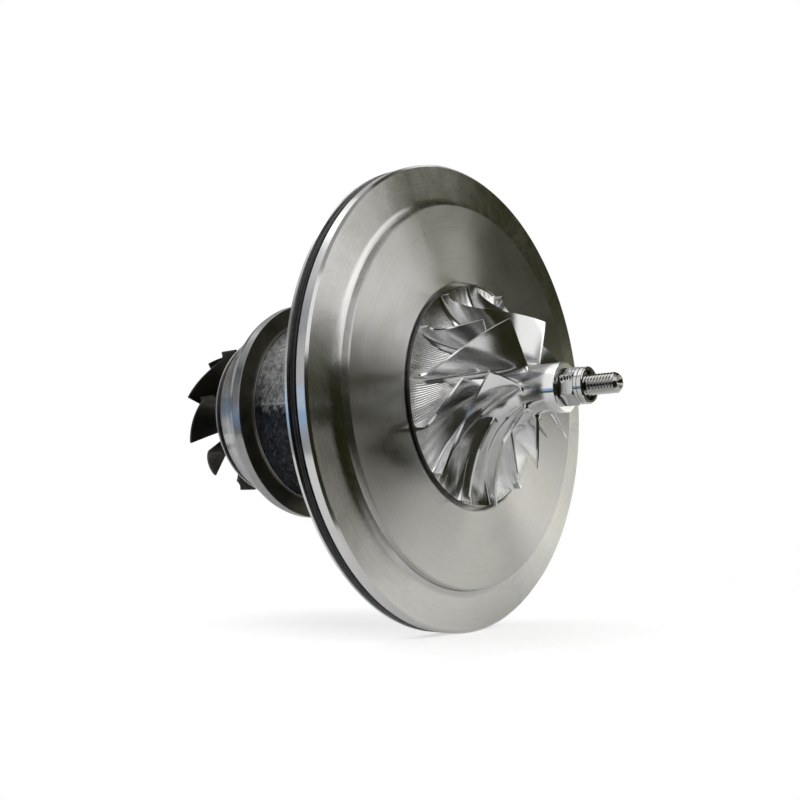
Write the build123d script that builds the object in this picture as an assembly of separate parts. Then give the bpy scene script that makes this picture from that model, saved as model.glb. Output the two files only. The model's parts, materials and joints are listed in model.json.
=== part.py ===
from build123d import *
import os
from math import asin, cos, pi, radians, sin, sqrt

# A turbocharger cartridge: a rotor with a compressor wheel and a turbine wheel, carried by two
# floating bushes and a thrust bearing in an oil-cooled housing, behind a large round backplate.
# Sizes are millimetres. The rotor axis is X, the compressor nose points to plus X, and Z is up.
# The origin is on the rotor axis, in the plane of the front edge of the backplate's rim.
# Angles about the rotor axis are in degrees, from plus Z towards plus Y.

# Small clearances that keep seated pieces apart
slip_fit = 0.01
seal_fit = 0.02
thread_fit = 0.02
bush_fit = 0.03
end_float = 0.05
seat_fit = 0.02
plate_fit = 0.1
bolt_hole_fit = 0.3
drill_overrun = 1.0
thread_runout = 1.5

# Edge breaks
fine_break = 0.4
edge_break = 0.6
casting_break = 1.0

# Backplate: rim, outer annulus, raised inner face and wheel pocket
rim_radius = 96.0
rim_chamfer = 0.9
rim_seal_cord = 3.3
rim_groove_setback = 3.8
rim_groove_slack = 1.3
rim_groove_depth = 3.4
rim_groove_wall = 2.6
rim_rear_land = 1.7
annulus_width = 17.1
step_height = 3.9
step_chamfer = 0.5
step_flare = 0.6
cove_reach = 2.9
cove_rise = 0.8
cove_nick = 0.35
pocket_chamfer = 0.5
pocket_side_gap = 1.6
pocket_floor_gap = 1.6
web_thickness = 8.5
web_fillet = 3.0
web_rim_slope = 2.0
boss_depth = 21.0

# Bolts that hold the backplate to the housing
bolt_count = 8
first_bolt_angle = 22.5
bolt_radius = 4.0
bolt_engagement = 12.0
bolt_head_flats = 13.0
bolt_head_height = 5.3
bolt_flange_radius = 8.0
bolt_flange_height = 1.6
washer_radius = 8.4
washer_thickness = 1.6
washer_margin = 1.6
washer_clearance = 2.6

# Compressor wheel: seven full blades with a splitter between each two
wheel_radius = 45.4
wheel_disc_front = 5.7
wheel_disc_edge = 1.5
wheel_exit_width = 4.25
inducer_radius = 30.9
inducer_station = 32.1
nose_radius = 9.9
nose_station = 46.8
hub_flare_station = 33.5
wheel_back_radius = 13.5
wheel_back_station = -4.0
wheel_back_cone = 5.0
wheel_back_waist = 0.62
wheel_back_bow = 0.55
wheel_back_fillet = 2.0
full_blades = 7
first_blade_angle = 21.2
blade_wrap = 55.9
blade_wrap_power = 1.95
blade_root_lag = 2.4
blade_root_sink = 0.7
splitter_start = 0.32
blade_tip_thickness = 0.9
blade_root_thickness = 2.2
blade_exit_root_thickness = 1.2

# Shaft and nut
stub_radius = 4.0
thread_pitch = 1.25
thread_depth = 0.68
thread_crest = 0.12
thread_start = 48.5
shaft_end = 69.4
shaft_end_chamfer = 1.3
centre_drill_radius = 1.5
centre_drill_pilot = 0.6
centre_drill_depth = 2.6
journal_step = 2.5
journal_land = 1.0
shaft_waist_depth = 0.5
nut_angle = 350.0
nut_seat_radius = 7.4
nut_seat_thickness = 0.4
nut_across_flats = 13.0
nut_corner_trim = 0.1
nut_hex_length = 5.8
nut_collar_radius = 7.15
nut_collar_length = 4.2
nut_groove_depth = 0.35
nut_groove_width = 0.45
nut_recess_radius = 5.3
nut_recess_depth = 1.4

# Seal plate, thrust bearing and the pieces in the front of the housing
spigot_setback = 3.0
spigot_wall = 8.0
spigot_seal_cord = 2.6
spigot_seal_setback = 9.0
plate_seal_cord = 2.4
seal_groove_slack = 0.4
front_bore_land = 14.0
seal_plate_thickness = 9.0
seal_plate_skirt = 3.0
seal_plate_skirt_width = 3.5
snap_ring_thickness = 2.0
snap_ring_bite = 1.6
snap_ring_width = 3.4
snap_ring_front_gap = 3.0
snap_ring_opening = 9.0
snap_ring_ear = 3.0
baffle_thickness = 1.2
baffle_bore_gap = 1.0
thrust_plate_thickness = 6.0
thrust_neck_step = 1.5
thrust_neck_gap = 0.6
thrust_pad_count = 6
thrust_groove_radius = 0.6
thrust_feed_radius = 1.0
thrust_collar_reach = 6.0
thrust_collar_thickness = 4.0
collar_side_room = 2.0
collar_end_room = 2.0
sleeve_wall = 5.5
sleeve_flange_step = 1.0
sleeve_flange_thickness = 3.0
seal_ring_gap = 0.4
seal_ring_width = 1.5
seal_ring_depth = 1.8
seal_ring_opening = 0.4
seal_ring_side_play = 0.08
seal_ring_setback = 2.0
seal_ring_pitch = 3.2
thrust_screw_count = 4
first_thrust_screw_angle = 45.0
thrust_screw_radius = 2.5
thrust_screw_length = 13.0
thrust_screw_head_radius = 4.3
thrust_screw_head_height = 3.0
thrust_screw_socket_flats = 4.0
thrust_screw_socket_depth = 1.8
screw_hole_gap = 0.2
dowel_count = 2
first_dowel_angle = 90.0
dowel_radius = 2.0
dowel_length = 11.0

# Floating bushes and their snap rings
bush_wall = 3.5
bush_length = 14.0
bush_ring_thickness = 1.2
bush_ring_bite = 1.2
bush_ring_width = 2.6
bush_ring_opening = 5.0
bush_end_play = 0.3
bush_hole_radius = 1.4
bush_hole_count = 6
bush_ring_inset = 3.2

# Housing casting
flange_thickness = 9.0
body_radius = 39.0
body_flare = 4.0
waist_depth = 3.5
waist_slope = 12.0
core_length = 21.15
core_depth = 9.0
core_slope = 5.0
slinger_land = 1.0
slinger_width = 3.2
slinger_depth = 4.0
turbine_flange_radius = 49.9
turbine_flange_width = 7.2
turbine_flange_taper = 1.0
turbine_register_length = 3.8
turbine_face_reach = 3.1
turbine_face_lip = 0.8
turbine_face_slope = 2.5
turbine_cone_radius = 39.9
turbine_cone_length = 16.4
turbine_spigot_radius = 34.6
turbine_spigot_length = 3.8
turbine_bore_length = 9.0
end_recess_wall = 4.6
end_recess_width = 15.0
end_recess_depth = 7.0

# Oil flanges above and below the housing
pad_clearance = 2.6
pad_thickness = 11.0
pad_corner_radius = 13.0
neck_inset = 2.5
oil_inlet_height = 54.0
oil_inlet_length = 56.0
oil_inlet_width = 28.0
oil_inlet_bore = 5.5
oil_inlet_spacing = 38.0
inlet_stud_radius = 4.1
inlet_stud_depth = 15.0
oil_drain_height = 56.0
oil_drain_length = 44.0
oil_drain_width = 28.0
oil_drain_bore = 8.5
oil_drain_spacing = 32.0
drain_stud_radius = 3.4
drain_stud_depth = 14.0
drain_wall = 5.0
drain_slot_width = 15.0
slinger_slot_width = 10.0
feed_radius = 2.0
gallery_depth = 10.0

# Heat shield and turbine wheel
shield_overhang = 3.7
shield_thickness = 1.5
shield_rim = 2.1
shield_bore_gap = 1.2
shield_fold = 1.0
turbine_gap = 1.2
turbine_hub_step = 3.5
turbine_seal_gap = 0.4
turbine_tip_radius = 38.4
turbine_inducer_width = 9.8
turbine_exit_radius = 31.8
turbine_length = 27.55
turbine_disc_radius = 31.0
turbine_disc_edge = 2.2
turbine_hub_exit_radius = 9.5
turbine_hub_curve = 0.55
turbine_nose_radius = 7.6
turbine_nose_length = 6.0
turbine_nose_chamfer = 1.2
turbine_blades = 9
turbine_blade_angle = 358.1
turbine_wrap = 34.3
turbine_wrap_power = 2.16
turbine_root_lean = 17.0
turbine_root_share = 0.6
turbine_tail_spacing = 1.5
turbine_tip_thickness = 1.1
turbine_root_thickness = 3.0
weld_inset = 4.0

# Radii worked out from the sizes above
journal_radius = stub_radius + journal_step
bush_outer_radius = journal_radius + bush_fit + bush_wall
bush_bore_radius = bush_outer_radius + bush_fit
core_radius = bush_bore_radius + core_depth
sleeve_radius = stub_radius + sleeve_wall
sleeve_bore_radius = sleeve_radius + seal_ring_gap
thrust_neck_radius = journal_radius + thrust_neck_step
thrust_collar_radius = thrust_neck_radius + thrust_collar_reach
collar_pocket_radius = thrust_collar_radius + collar_side_room
sleeve_flange_radius = thrust_collar_radius - sleeve_flange_step
front_bore_radius = collar_pocket_radius + front_bore_land
thrust_screw_circle = (collar_pocket_radius + front_bore_radius) / 2
spigot_radius = front_bore_radius + spigot_wall
turbine_hub_radius = journal_radius + turbine_hub_step
turbine_bore_radius = turbine_hub_radius + turbine_seal_gap
turbine_face_radius = body_radius + turbine_face_reach
shield_radius = turbine_spigot_radius + shield_overhang
flange_radius = body_radius + body_flare + washer_clearance + 2 * washer_radius + washer_margin
bolt_circle = flange_radius - washer_margin - washer_radius
step_radius = rim_radius - annulus_width
web_rim_radius = rim_radius - rim_groove_depth - rim_groove_wall
pocket_radius = wheel_radius + pocket_side_gap

# Stations along the rotor axis, from the compressor end to the turbine end
nut_hex_end = nose_station + nut_seat_thickness + nut_hex_length
nut_end = nut_hex_end + nut_collar_length
annulus_face = rim_chamfer
raised_face = annulus_face + step_height
rim_groove_back = -rim_groove_setback - rim_seal_cord - rim_groove_slack
rim_back = rim_groove_back - rim_rear_land
boss_face = -boss_depth
wheel_exit_front = wheel_disc_front + wheel_exit_width
wheel_disc_back = wheel_disc_front - wheel_disc_edge
pocket_floor = wheel_disc_back - pocket_floor_gap
pocket_fall = wheel_back_cone / wheel_radius
spigot_floor = pocket_floor - pocket_fall * (pocket_radius - spigot_radius)
spigot_front = -spigot_setback
spigot_seal_station = spigot_front - spigot_seal_setback
snap_front = spigot_front - snap_ring_front_gap
seal_plate_front = snap_front - snap_ring_thickness
seal_plate_back = seal_plate_front - seal_plate_thickness
plate_seal_station = (seal_plate_front + seal_plate_back) / 2
skirt_back = seal_plate_back - seal_plate_skirt
thrust_front = skirt_back - baffle_thickness
thrust_back = thrust_front - thrust_plate_thickness
thrust_middle = (thrust_front + thrust_back) / 2
thrust_screw_seat = thrust_front - thrust_screw_head_height - screw_hole_gap
collar_front = thrust_back - end_float
collar_back = collar_front - thrust_collar_thickness
sleeve_back = thrust_front + end_float
sleeve_flange_front = sleeve_back + sleeve_flange_thickness
collar_pocket_back = collar_back - collar_end_room
front_ring_1 = collar_pocket_back - bush_ring_inset
front_bush_front = front_ring_1 - bush_ring_thickness - bush_end_play
front_bush_back = front_bush_front - bush_length
front_ring_2 = front_bush_back - bush_end_play
core_front = front_ring_2 - bush_ring_thickness - bush_ring_inset
core_back = core_front - core_length
rear_ring_1 = core_back - bush_ring_inset
rear_bush_front = rear_ring_1 - bush_ring_thickness - bush_end_play
rear_bush_back = rear_bush_front - bush_length
rear_ring_2 = rear_bush_back - bush_end_play
slinger_front = rear_ring_2 - bush_ring_thickness - slinger_land
turbine_bore_front = slinger_front - slinger_width
spigot_back = turbine_bore_front - turbine_bore_length
cone_back = spigot_back + turbine_spigot_length
flange_edge = cone_back + turbine_cone_length
turbine_flange_front = flange_edge + turbine_flange_width
turbine_lip_front = turbine_flange_front + turbine_face_lip
turbine_register_back = turbine_flange_front - fine_break - turbine_register_length
flange_back = boss_face - flange_thickness
barrel_front = flange_back - body_flare
barrel_back = turbine_lip_front + turbine_face_slope
bolt_seat = flange_back - washer_thickness
bolt_head_back = bolt_seat - bolt_flange_height - bolt_head_height
oil_pad_station = bolt_head_back - pad_clearance - oil_drain_width / 2
shield_back = spigot_back - shield_thickness
turbine_back_face = shield_back - turbine_gap
weld_station = turbine_back_face + weld_inset
turbine_inducer_edge = turbine_back_face - turbine_inducer_width
turbine_exit = turbine_back_face - turbine_length
turbine_nose_end = turbine_exit - turbine_nose_length


# Helpers
def turned(points):
    """A solid of revolution about the rotor axis from (station, radius) corners."""
    return revolve(make_face(Polyline(*points, close=True)), Axis.X)


def tube(front, back, outer, inner=0.0):
    return turned([(front, inner), (front, outer), (back, outer), (back, inner)])


def rod_x(front, back, radius, place=(0.0, 0.0)):
    """A cylinder along X between two stations, at a place given as (y, z)."""
    middle = Pos((front + back) / 2, *place)
    return middle * Rot(0, 90, 0) * Cylinder(radius, abs(front - back))


def hexagon_x(front, back, across_flats, place=(0.0, 0.0), corner_angle=0.0):
    """A hexagonal prism along X between two stations, with a corner at the given angle."""
    corners = around(6, across_flats / 2 / cos(pi / 6), corner_angle)
    plane = Plane(origin=(back, *place), x_dir=(0, 1, 0), z_dir=(1, 0, 0))
    return extrude(plane * make_face(Polyline(*corners, close=True)), amount=front - back)


def drilling(start, end, radius):
    """A straight hole between two points."""
    along = Vector(*end) - Vector(*start)
    plane = Plane(origin=start, z_dir=along)
    return extrude(plane * Circle(radius), amount=along.length)


def around(count, radius, first=0.0):
    """Places of a pattern on a circle about the rotor axis, as (y, z)."""
    angles = [radians(first + 360.0 * index / count) for index in range(count)]
    return [(radius * sin(angle), radius * cos(angle)) for angle in angles]


def o_ring(station, radius, cord):
    """A round cord closed into a ring about the rotor axis."""
    return revolve(Pos(station, radius, 0) * Circle(cord / 2), Axis.X)


def split_ring(front, thickness, outer, inner, opening):
    """A flat ring that is open at the top."""
    ring = tube(front, front - thickness, outer, inner)
    middle = Pos(front - thickness / 2, 0, outer)
    return ring - middle * Box(2 * thickness, opening, 2 * (outer - inner) + opening)


def polar(station, radius, angle):
    """A point at an angle about the rotor axis."""
    turn = radians(angle)
    return Vector(station, radius * sin(turn), radius * cos(turn))


def blade_section(root, tip, along, root_thickness, tip_thickness):
    """Closed outline of a blade section, thick at right angles to the blade's surface."""
    normal = (tip - root).cross(along).normalized()
    corners = [
        root - normal * (root_thickness / 2),
        root + normal * (root_thickness / 2),
        tip + normal * (tip_thickness / 2),
        tip - normal * (tip_thickness / 2),
    ]
    return Face(Wire(Polyline(*corners, close=True).edges())).outer_wire()


# Backplate
def compressor_backplate():
    groove_floor = rim_radius - rim_groove_depth
    foot = step_radius + step_flare
    cove_radius = (cove_reach**2 + cove_rise**2) / (2 * cove_rise)
    cove_half = asin(cove_reach / cove_radius) / 2
    cove_outer = foot + cove_reach
    cove_top = annulus_face + cove_rise
    cove_middle = (
        annulus_face + cove_radius * (1 - cos(cove_half)),
        cove_outer - cove_radius * sin(cove_half),
    )
    cove = ThreePointArc((annulus_face, cove_outer), cove_middle, (cove_top, foot))
    web_face = annulus_face - web_thickness
    outline = [
        (cove_top, foot),
        (cove_top - cove_nick, foot - cove_nick / 2),
        (cove_top + cove_nick, foot - cove_nick),
        (raised_face - step_chamfer, step_radius),
        (raised_face, step_radius - step_chamfer),
        (raised_face, pocket_radius + pocket_chamfer),
        (raised_face - pocket_chamfer, pocket_radius),
        (pocket_floor, pocket_radius),
        (spigot_floor, spigot_radius + seal_fit),
        (boss_face, spigot_radius + seal_fit),
        (boss_face, flange_radius - casting_break),
        (boss_face + casting_break, flange_radius),
        (web_face - web_fillet, flange_radius),
        (web_face, flange_radius + web_fillet),
        (web_face, web_rim_radius - web_rim_slope),
        (rim_back, web_rim_radius),
        (rim_back, rim_radius - edge_break),
        (rim_back + edge_break, rim_radius),
        (rim_groove_back, rim_radius),
        (rim_groove_back, groove_floor),
        (-rim_groove_setback, groove_floor),
        (-rim_groove_setback, rim_radius),
        (0, rim_radius),
        (rim_chamfer, rim_radius - rim_chamfer),
        (annulus_face, cove_outer),
    ]
    plate = revolve(make_face(Polyline(*outline) + cove), Axis.X)
    hole_end = boss_face + bolt_engagement + thread_runout
    for place in around(bolt_count, bolt_circle, first_bolt_angle):
        plate -= rod_x(hole_end, boss_face, bolt_radius + thread_fit, place)
    return plate


def backplate_rim_seal():
    middle = (rim_groove_back - rim_groove_setback) / 2
    floor = rim_radius - rim_groove_depth
    return o_ring(middle, floor + seal_fit + rim_seal_cord / 2, rim_seal_cord)


def spigot_seal():
    return o_ring(spigot_seal_station, spigot_radius - spigot_seal_cord / 2, spigot_seal_cord)


def backplate_bolt(place):
    shank = rod_x(boss_face + bolt_engagement, bolt_seat, bolt_radius, place)
    collar = rod_x(bolt_seat, bolt_seat - bolt_flange_height, bolt_flange_radius, place)
    head = hexagon_x(bolt_seat - bolt_flange_height, bolt_head_back, bolt_head_flats, place)
    return shank + collar + head


def backplate_washer(place):
    disc = rod_x(flange_back, bolt_seat, washer_radius, place)
    return disc - rod_x(flange_back, bolt_seat, bolt_radius + bolt_hole_fit, place)


# Compressor wheel
def wheel_shroud(share):
    """Station and radius of the blade tip, from the inducer at 0 to the exit at 1."""
    turn = share * pi / 2
    station = inducer_station - (inducer_station - wheel_exit_front) * sin(turn)
    radius = wheel_radius - (wheel_radius - inducer_radius) * cos(turn)
    return station, radius


def wheel_hub(share):
    """Station and radius of the hub surface, from the nose cylinder at 0 to the disc rim at 1."""
    turn = share * pi / 2
    station = hub_flare_station - (hub_flare_station - wheel_disc_front) * sin(turn)
    radius = wheel_radius - (wheel_radius - nose_radius) * cos(turn)
    return station, radius


def wheel_blade_ends(share, angle):
    """Root and tip of a blade at a share of the way along the wheel."""
    turned_by = blade_wrap * (1 - (1 - share) ** blade_wrap_power)
    root = polar(*wheel_hub(share), angle - turned_by - blade_root_lag * (1 - share))
    return root, polar(*wheel_shroud(share), angle - turned_by)


def compressor_blade(first_share, angle):
    """One blade of the compressor wheel, from a share of the way along to the exit."""
    steps = 7
    look_back = 0.01
    wires = []
    for index in range(steps + 1):
        share = first_share + (1 - first_share) * index / steps
        root, tip = wheel_blade_ends(share, angle)
        root_before, tip_before = wheel_blade_ends(share - look_back, angle)
        along = (root + tip - root_before - tip_before) * 0.5
        sunk = root - (tip - root).normalized() * blade_root_sink
        thinning = (blade_root_thickness - blade_exit_root_thickness) * share
        root_width = blade_root_thickness - thinning
        wires.append(blade_section(sunk, tip, along, root_width, blade_tip_thickness))
    return Solid.make_loft(wires)


def compressor_wheel():
    hub_steps = 12
    bore = stub_radius + slip_fit
    outline = [(nose_station, bore), (nose_station, nose_radius - edge_break)]
    outline += [(nose_station - edge_break, nose_radius)]
    outline += [wheel_hub(index / hub_steps) for index in range(hub_steps + 1)]
    outline += [
        (wheel_disc_back, wheel_radius),
        (wheel_disc_back - wheel_back_cone * wheel_back_bow, wheel_radius * wheel_back_waist),
        (wheel_back_station + edge_break, wheel_back_radius + wheel_back_fillet),
        (wheel_back_station, wheel_back_radius),
        (wheel_back_station, bore),
    ]
    wheel = turned(outline)
    spacing = 360.0 / full_blades
    for index in range(full_blades):
        angle = first_blade_angle + spacing * index
        wheel += compressor_blade(0.0, angle)
        wheel += compressor_blade(splitter_start, angle + spacing / 2)
    return wheel


# Shaft and the pieces that turn with it
def thread_outline():
    """Crests and valleys of the end thread, from the shaft's end back to the thread's start."""
    valley = stub_radius - thread_depth
    crest_end = shaft_end - shaft_end_chamfer
    points = [(crest_end, stub_radius)]
    for index in range(int((crest_end - thread_start) / thread_pitch)):
        top = crest_end - thread_pitch * index
        points.append((top - thread_pitch * thread_crest, stub_radius))
        points.append((top - thread_pitch / 2, valley))
        points.append((top - thread_pitch * (1 / 2 + thread_crest), valley))
        points.append((top - thread_pitch, stub_radius))
    return points


def rotor_shaft():
    waist = journal_radius - shaft_waist_depth
    shoulder = rear_ring_2 - journal_land
    outline = [(shaft_end, 0), (shaft_end, stub_radius - shaft_end_chamfer)]
    outline += thread_outline()
    outline += [
        (collar_back, stub_radius),
        (collar_back, journal_radius - fine_break),
        (collar_back - fine_break, journal_radius),
        (front_bush_back - journal_land, journal_radius),
        (front_bush_back - journal_land - edge_break, waist),
        (rear_bush_front + journal_land + edge_break, waist),
        (rear_bush_front + journal_land, journal_radius),
        (shoulder, journal_radius),
        (shoulder - edge_break, turbine_hub_radius - edge_break),
        (shoulder - 2 * edge_break, turbine_hub_radius),
        (weld_station, turbine_hub_radius),
        (weld_station, 0),
    ]
    drill = turned([
        (shaft_end, 0),
        (shaft_end, centre_drill_radius),
        (shaft_end - centre_drill_radius, centre_drill_pilot),
        (shaft_end - centre_drill_depth, centre_drill_pilot),
        (shaft_end - centre_drill_depth, 0),
    ])
    shaft = turned(outline) - drill
    for station in seal_ring_stations(turbine_bore_front):
        shaft -= seal_groove(station, turbine_hub_radius)
    return shaft


def seal_ring_stations(bore_front):
    """Where the two piston rings of a shaft seal start, behind the front of their bore."""
    first = bore_front - seal_ring_setback
    return [first, first - seal_ring_pitch]


def seal_groove(front, radius):
    """The groove that a seal ring sits in, cut in the turning part."""
    back = front - seal_ring_width - 2 * seal_ring_side_play
    floor = radius - seal_ring_depth
    return tube(front, back, radius + drill_overrun, floor)


def seal_ring(station, bore_radius):
    outer = bore_radius - slip_fit
    front = station - seal_ring_side_play
    inner = outer - seal_ring_depth
    return split_ring(front, seal_ring_width, outer, inner, seal_ring_opening)


def thrust_sleeve():
    bore = stub_radius + slip_fit
    sleeve = turned([
        (wheel_back_station, bore),
        (wheel_back_station, sleeve_radius - fine_break),
        (wheel_back_station - fine_break, sleeve_radius),
        (sleeve_flange_front + edge_break, sleeve_radius),
        (sleeve_flange_front, sleeve_radius + edge_break),
        (sleeve_flange_front, sleeve_flange_radius),
        (sleeve_back, sleeve_flange_radius),
        (sleeve_back, bore),
    ])
    for station in seal_ring_stations(seal_plate_front):
        sleeve -= seal_groove(station, sleeve_radius)
    return sleeve


def thrust_collar():
    bore = stub_radius + slip_fit
    return turned([
        (sleeve_back, bore),
        (sleeve_back, thrust_neck_radius),
        (collar_front, thrust_neck_radius),
        (collar_front, thrust_collar_radius),
        (collar_back, thrust_collar_radius),
        (collar_back, bore),
    ])


def shaft_nut():
    seat_front = nose_station + nut_seat_thickness
    groove_middle = (nut_hex_end + nut_end) / 2
    half_groove = nut_groove_width / 2
    corner = nut_across_flats / 2 / cos(pi / 6) - nut_corner_trim
    trim = turned([
        (seat_front, 0),
        (seat_front, corner - edge_break),
        (seat_front + edge_break / 2, corner),
        (nut_hex_end, corner),
        (nut_hex_end, 0),
    ])
    hexagon = trim & hexagon_x(nut_hex_end, seat_front, nut_across_flats, (0, 0), nut_angle)
    seat = tube(seat_front, nose_station, nut_seat_radius)
    collar_front = nut_hex_end + nut_groove_width
    collar = turned([
        (nut_hex_end, 0),
        (nut_hex_end, nut_across_flats / 2 - fine_break),
        (collar_front, nut_across_flats / 2 - fine_break),
        (collar_front, nut_collar_radius),
        (groove_middle - half_groove, nut_collar_radius),
        (groove_middle, nut_collar_radius - nut_groove_depth),
        (groove_middle + half_groove, nut_collar_radius),
        (nut_end - edge_break, nut_collar_radius),
        (nut_end, nut_collar_radius - edge_break),
        (nut_end, nut_recess_radius),
        (nut_end - nut_recess_depth, nut_recess_radius - edge_break),
        (nut_end - nut_recess_depth, 0),
    ])
    nut = hexagon + seat + collar
    return nut - tube(nut_end + 1, nose_station - 1, stub_radius + thread_fit)


# Seal plate, baffle and thrust bearing
def seal_plate():
    outer = front_bore_radius - seal_fit
    bore = sleeve_bore_radius
    plate = turned([
        (seal_plate_front, bore + edge_break),
        (seal_plate_front, outer - edge_break),
        (seal_plate_front - edge_break, outer),
        (skirt_back, outer),
        (skirt_back, outer - seal_plate_skirt_width),
        (seal_plate_back, outer - seal_plate_skirt_width),
        (seal_plate_back, bore),
        (seal_plate_front - edge_break, bore),
    ])
    return plate - seal_channel(plate_seal_station, outer, plate_seal_cord)


def seal_channel(station, outer, cord):
    """The groove for a round cord, cut in the outside of a round part."""
    half = (cord + seal_groove_slack) / 2
    return tube(station + half, station - half, outer + drill_overrun, outer - cord - seal_fit)


def seal_plate_seal():
    outer = front_bore_radius - seal_fit
    return o_ring(plate_seal_station, outer - plate_seal_cord / 2, plate_seal_cord)


def seal_plate_snap_ring():
    """A flat split ring with two pierced ears beside its opening."""
    outer = front_bore_radius + snap_ring_bite - seat_fit
    inner = outer - snap_ring_width
    front = snap_front - seat_fit
    thickness = snap_ring_thickness - 2 * seat_fit
    ring = tube(front, front - thickness, outer, inner)
    for side in (-1, 1):
        place = (side * (snap_ring_opening / 2 + snap_ring_ear), inner - snap_ring_ear / 3)
        ring += rod_x(front, front - thickness, snap_ring_ear, place)
        ring -= rod_x(front, front - thickness, snap_ring_ear / 2, place)
    opening = Box(2 * thickness, snap_ring_opening, 4 * snap_ring_width)
    return ring - Pos(front - thickness / 2, 0, inner) * opening


def oil_baffle():
    outer = front_bore_radius - bolt_hole_fit
    return tube(skirt_back, thrust_front, outer, thrust_collar_radius + baffle_bore_gap)


def thrust_bearing():
    outer = front_bore_radius - plate_fit
    plate = tube(thrust_front, thrust_back, outer, thrust_neck_radius + thrust_neck_gap)
    head_hole = thrust_screw_head_radius + screw_hole_gap
    shank_hole = thrust_screw_radius + screw_hole_gap
    for place in around(thrust_screw_count, thrust_screw_circle, first_thrust_screw_angle):
        plate -= rod_x(thrust_front, thrust_back, shank_hole, place)
        plate -= rod_x(thrust_front, thrust_screw_seat, head_hole, place)
    for place in around(dowel_count, thrust_screw_circle, first_dowel_angle):
        plate -= rod_x(thrust_front, thrust_back, dowel_radius + slip_fit, place)
    for face in (thrust_front, thrust_back):
        for place in around(thrust_pad_count, thrust_collar_radius):
            plate -= drilling((face, 0, 0), (face, *place), thrust_groove_radius)
    top = (thrust_middle, 0, outer + drill_overrun)
    plate -= drilling(top, (thrust_middle, 0, thrust_neck_radius), thrust_feed_radius)
    return plate - rod_x(thrust_middle, thrust_back, thrust_feed_radius, (0, thrust_screw_circle))


def thrust_screw(place):
    head_top = thrust_screw_seat + thrust_screw_head_height
    end = thrust_screw_seat - thrust_screw_length
    shank = rod_x(thrust_screw_seat, end, thrust_screw_radius, place)
    head = rod_x(head_top, thrust_screw_seat, thrust_screw_head_radius, place)
    floor = head_top - thrust_screw_socket_depth
    return shank + head - hexagon_x(head_top, floor, thrust_screw_socket_flats, place)


def thrust_dowel(place):
    return rod_x(thrust_front, thrust_front - dowel_length, dowel_radius, place)


# Floating bushes
def floating_bush(front):
    back = front - bush_length
    middle = (front + back) / 2
    inner = journal_radius + bush_fit
    bush = turned([
        (front, inner + edge_break),
        (front, bush_outer_radius - edge_break),
        (front - edge_break, bush_outer_radius),
        (back + edge_break, bush_outer_radius),
        (back, bush_outer_radius - edge_break),
        (back, inner + edge_break),
        (back + edge_break, inner),
        (front - edge_break, inner),
    ])
    for place in around(bush_hole_count, bush_outer_radius + drill_overrun):
        bush -= drilling((middle, 0, 0), (middle, *place), bush_hole_radius)
    return bush


def bush_snap_ring(front):
    outer = bush_bore_radius + bush_ring_bite - seat_fit
    thickness = bush_ring_thickness - 2 * seat_fit
    inner = outer - bush_ring_width
    return split_ring(front - seat_fit, thickness, outer, inner, bush_ring_opening)


# Bearing housing
def oil_pad(height, length, width, sign):
    """A two-bolt oil flange and its neck, above the axis or below it."""
    outline = RectangleRounded(length, width, pad_corner_radius)
    neck_corner = pad_corner_radius - neck_inset
    neck = RectangleRounded(length - 2 * neck_inset, width - 2 * neck_inset, neck_corner)
    base = Plane(origin=(oil_pad_station, 0, 0), x_dir=(0, 1, 0), z_dir=(0, 0, sign))
    pad = extrude(base.offset(height - pad_thickness) * outline, amount=pad_thickness)
    foot = body_radius / 2
    top = height - casting_break
    return pad + extrude(base.offset(foot) * neck, amount=top - foot)


def housing_body():
    """The barrel of the casting, between its two flanges and under them."""
    waist_radius = body_radius - waist_depth
    return turned([
        (spigot_front, 0),
        (spigot_front, spigot_radius - casting_break),
        (spigot_front - casting_break, spigot_radius),
        (barrel_front, spigot_radius),
        (barrel_front, body_radius),
        (barrel_front - waist_slope, waist_radius),
        (barrel_back + waist_slope, waist_radius),
        (barrel_back, body_radius),
        (barrel_back, spigot_radius),
        (turbine_lip_front, spigot_radius),
        (turbine_lip_front, turbine_spigot_radius),
        (spigot_back, turbine_spigot_radius),
        (spigot_back, 0),
    ])


def housing_front_flange():
    """The flange that the backplate is bolted to, with its flare on the barrel."""
    seat = spigot_radius + slip_fit
    flange = turned([
        (boss_face, seat),
        (boss_face, flange_radius - casting_break),
        (boss_face - casting_break, flange_radius),
        (flange_back + casting_break, flange_radius),
        (flange_back, flange_radius - casting_break),
        (flange_back, body_radius + body_flare),
        (barrel_front + slip_fit, body_radius),
        (barrel_front + slip_fit, seat),
    ])
    for place in around(bolt_count, bolt_circle, first_bolt_angle):
        flange -= rod_x(boss_face, flange_back, bolt_radius + bolt_hole_fit, place)
    return flange


def housing_turbine_flange():
    """The turbine end's flange and cone, round the barrel's end."""
    seat = turbine_spigot_radius + slip_fit
    foot = spigot_radius + slip_fit
    return turned([
        (barrel_back - slip_fit, foot),
        (barrel_back - slip_fit, body_radius),
        (turbine_lip_front, turbine_face_radius - edge_break),
        (turbine_lip_front, turbine_face_radius),
        (turbine_flange_front, turbine_face_radius + edge_break),
        (turbine_flange_front, turbine_flange_radius - fine_break),
        (turbine_flange_front - fine_break, turbine_flange_radius),
        (turbine_register_back, turbine_flange_radius),
        (flange_edge, turbine_flange_radius - turbine_flange_taper),
        (cone_back, turbine_cone_radius),
        (cone_back, seat),
        (turbine_lip_front - slip_fit, seat),
        (turbine_lip_front - slip_fit, foot),
    ])


def bush_bore_outline(rings):
    """The bore for a floating bush, with a groove for a snap ring at each given station."""
    bore = bush_bore_radius
    groove = bore + bush_ring_bite
    points = []
    for front in rings:
        back = front - bush_ring_thickness
        points += [(front, bore), (front, groove), (back, groove), (back, bore)]
    return points


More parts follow.
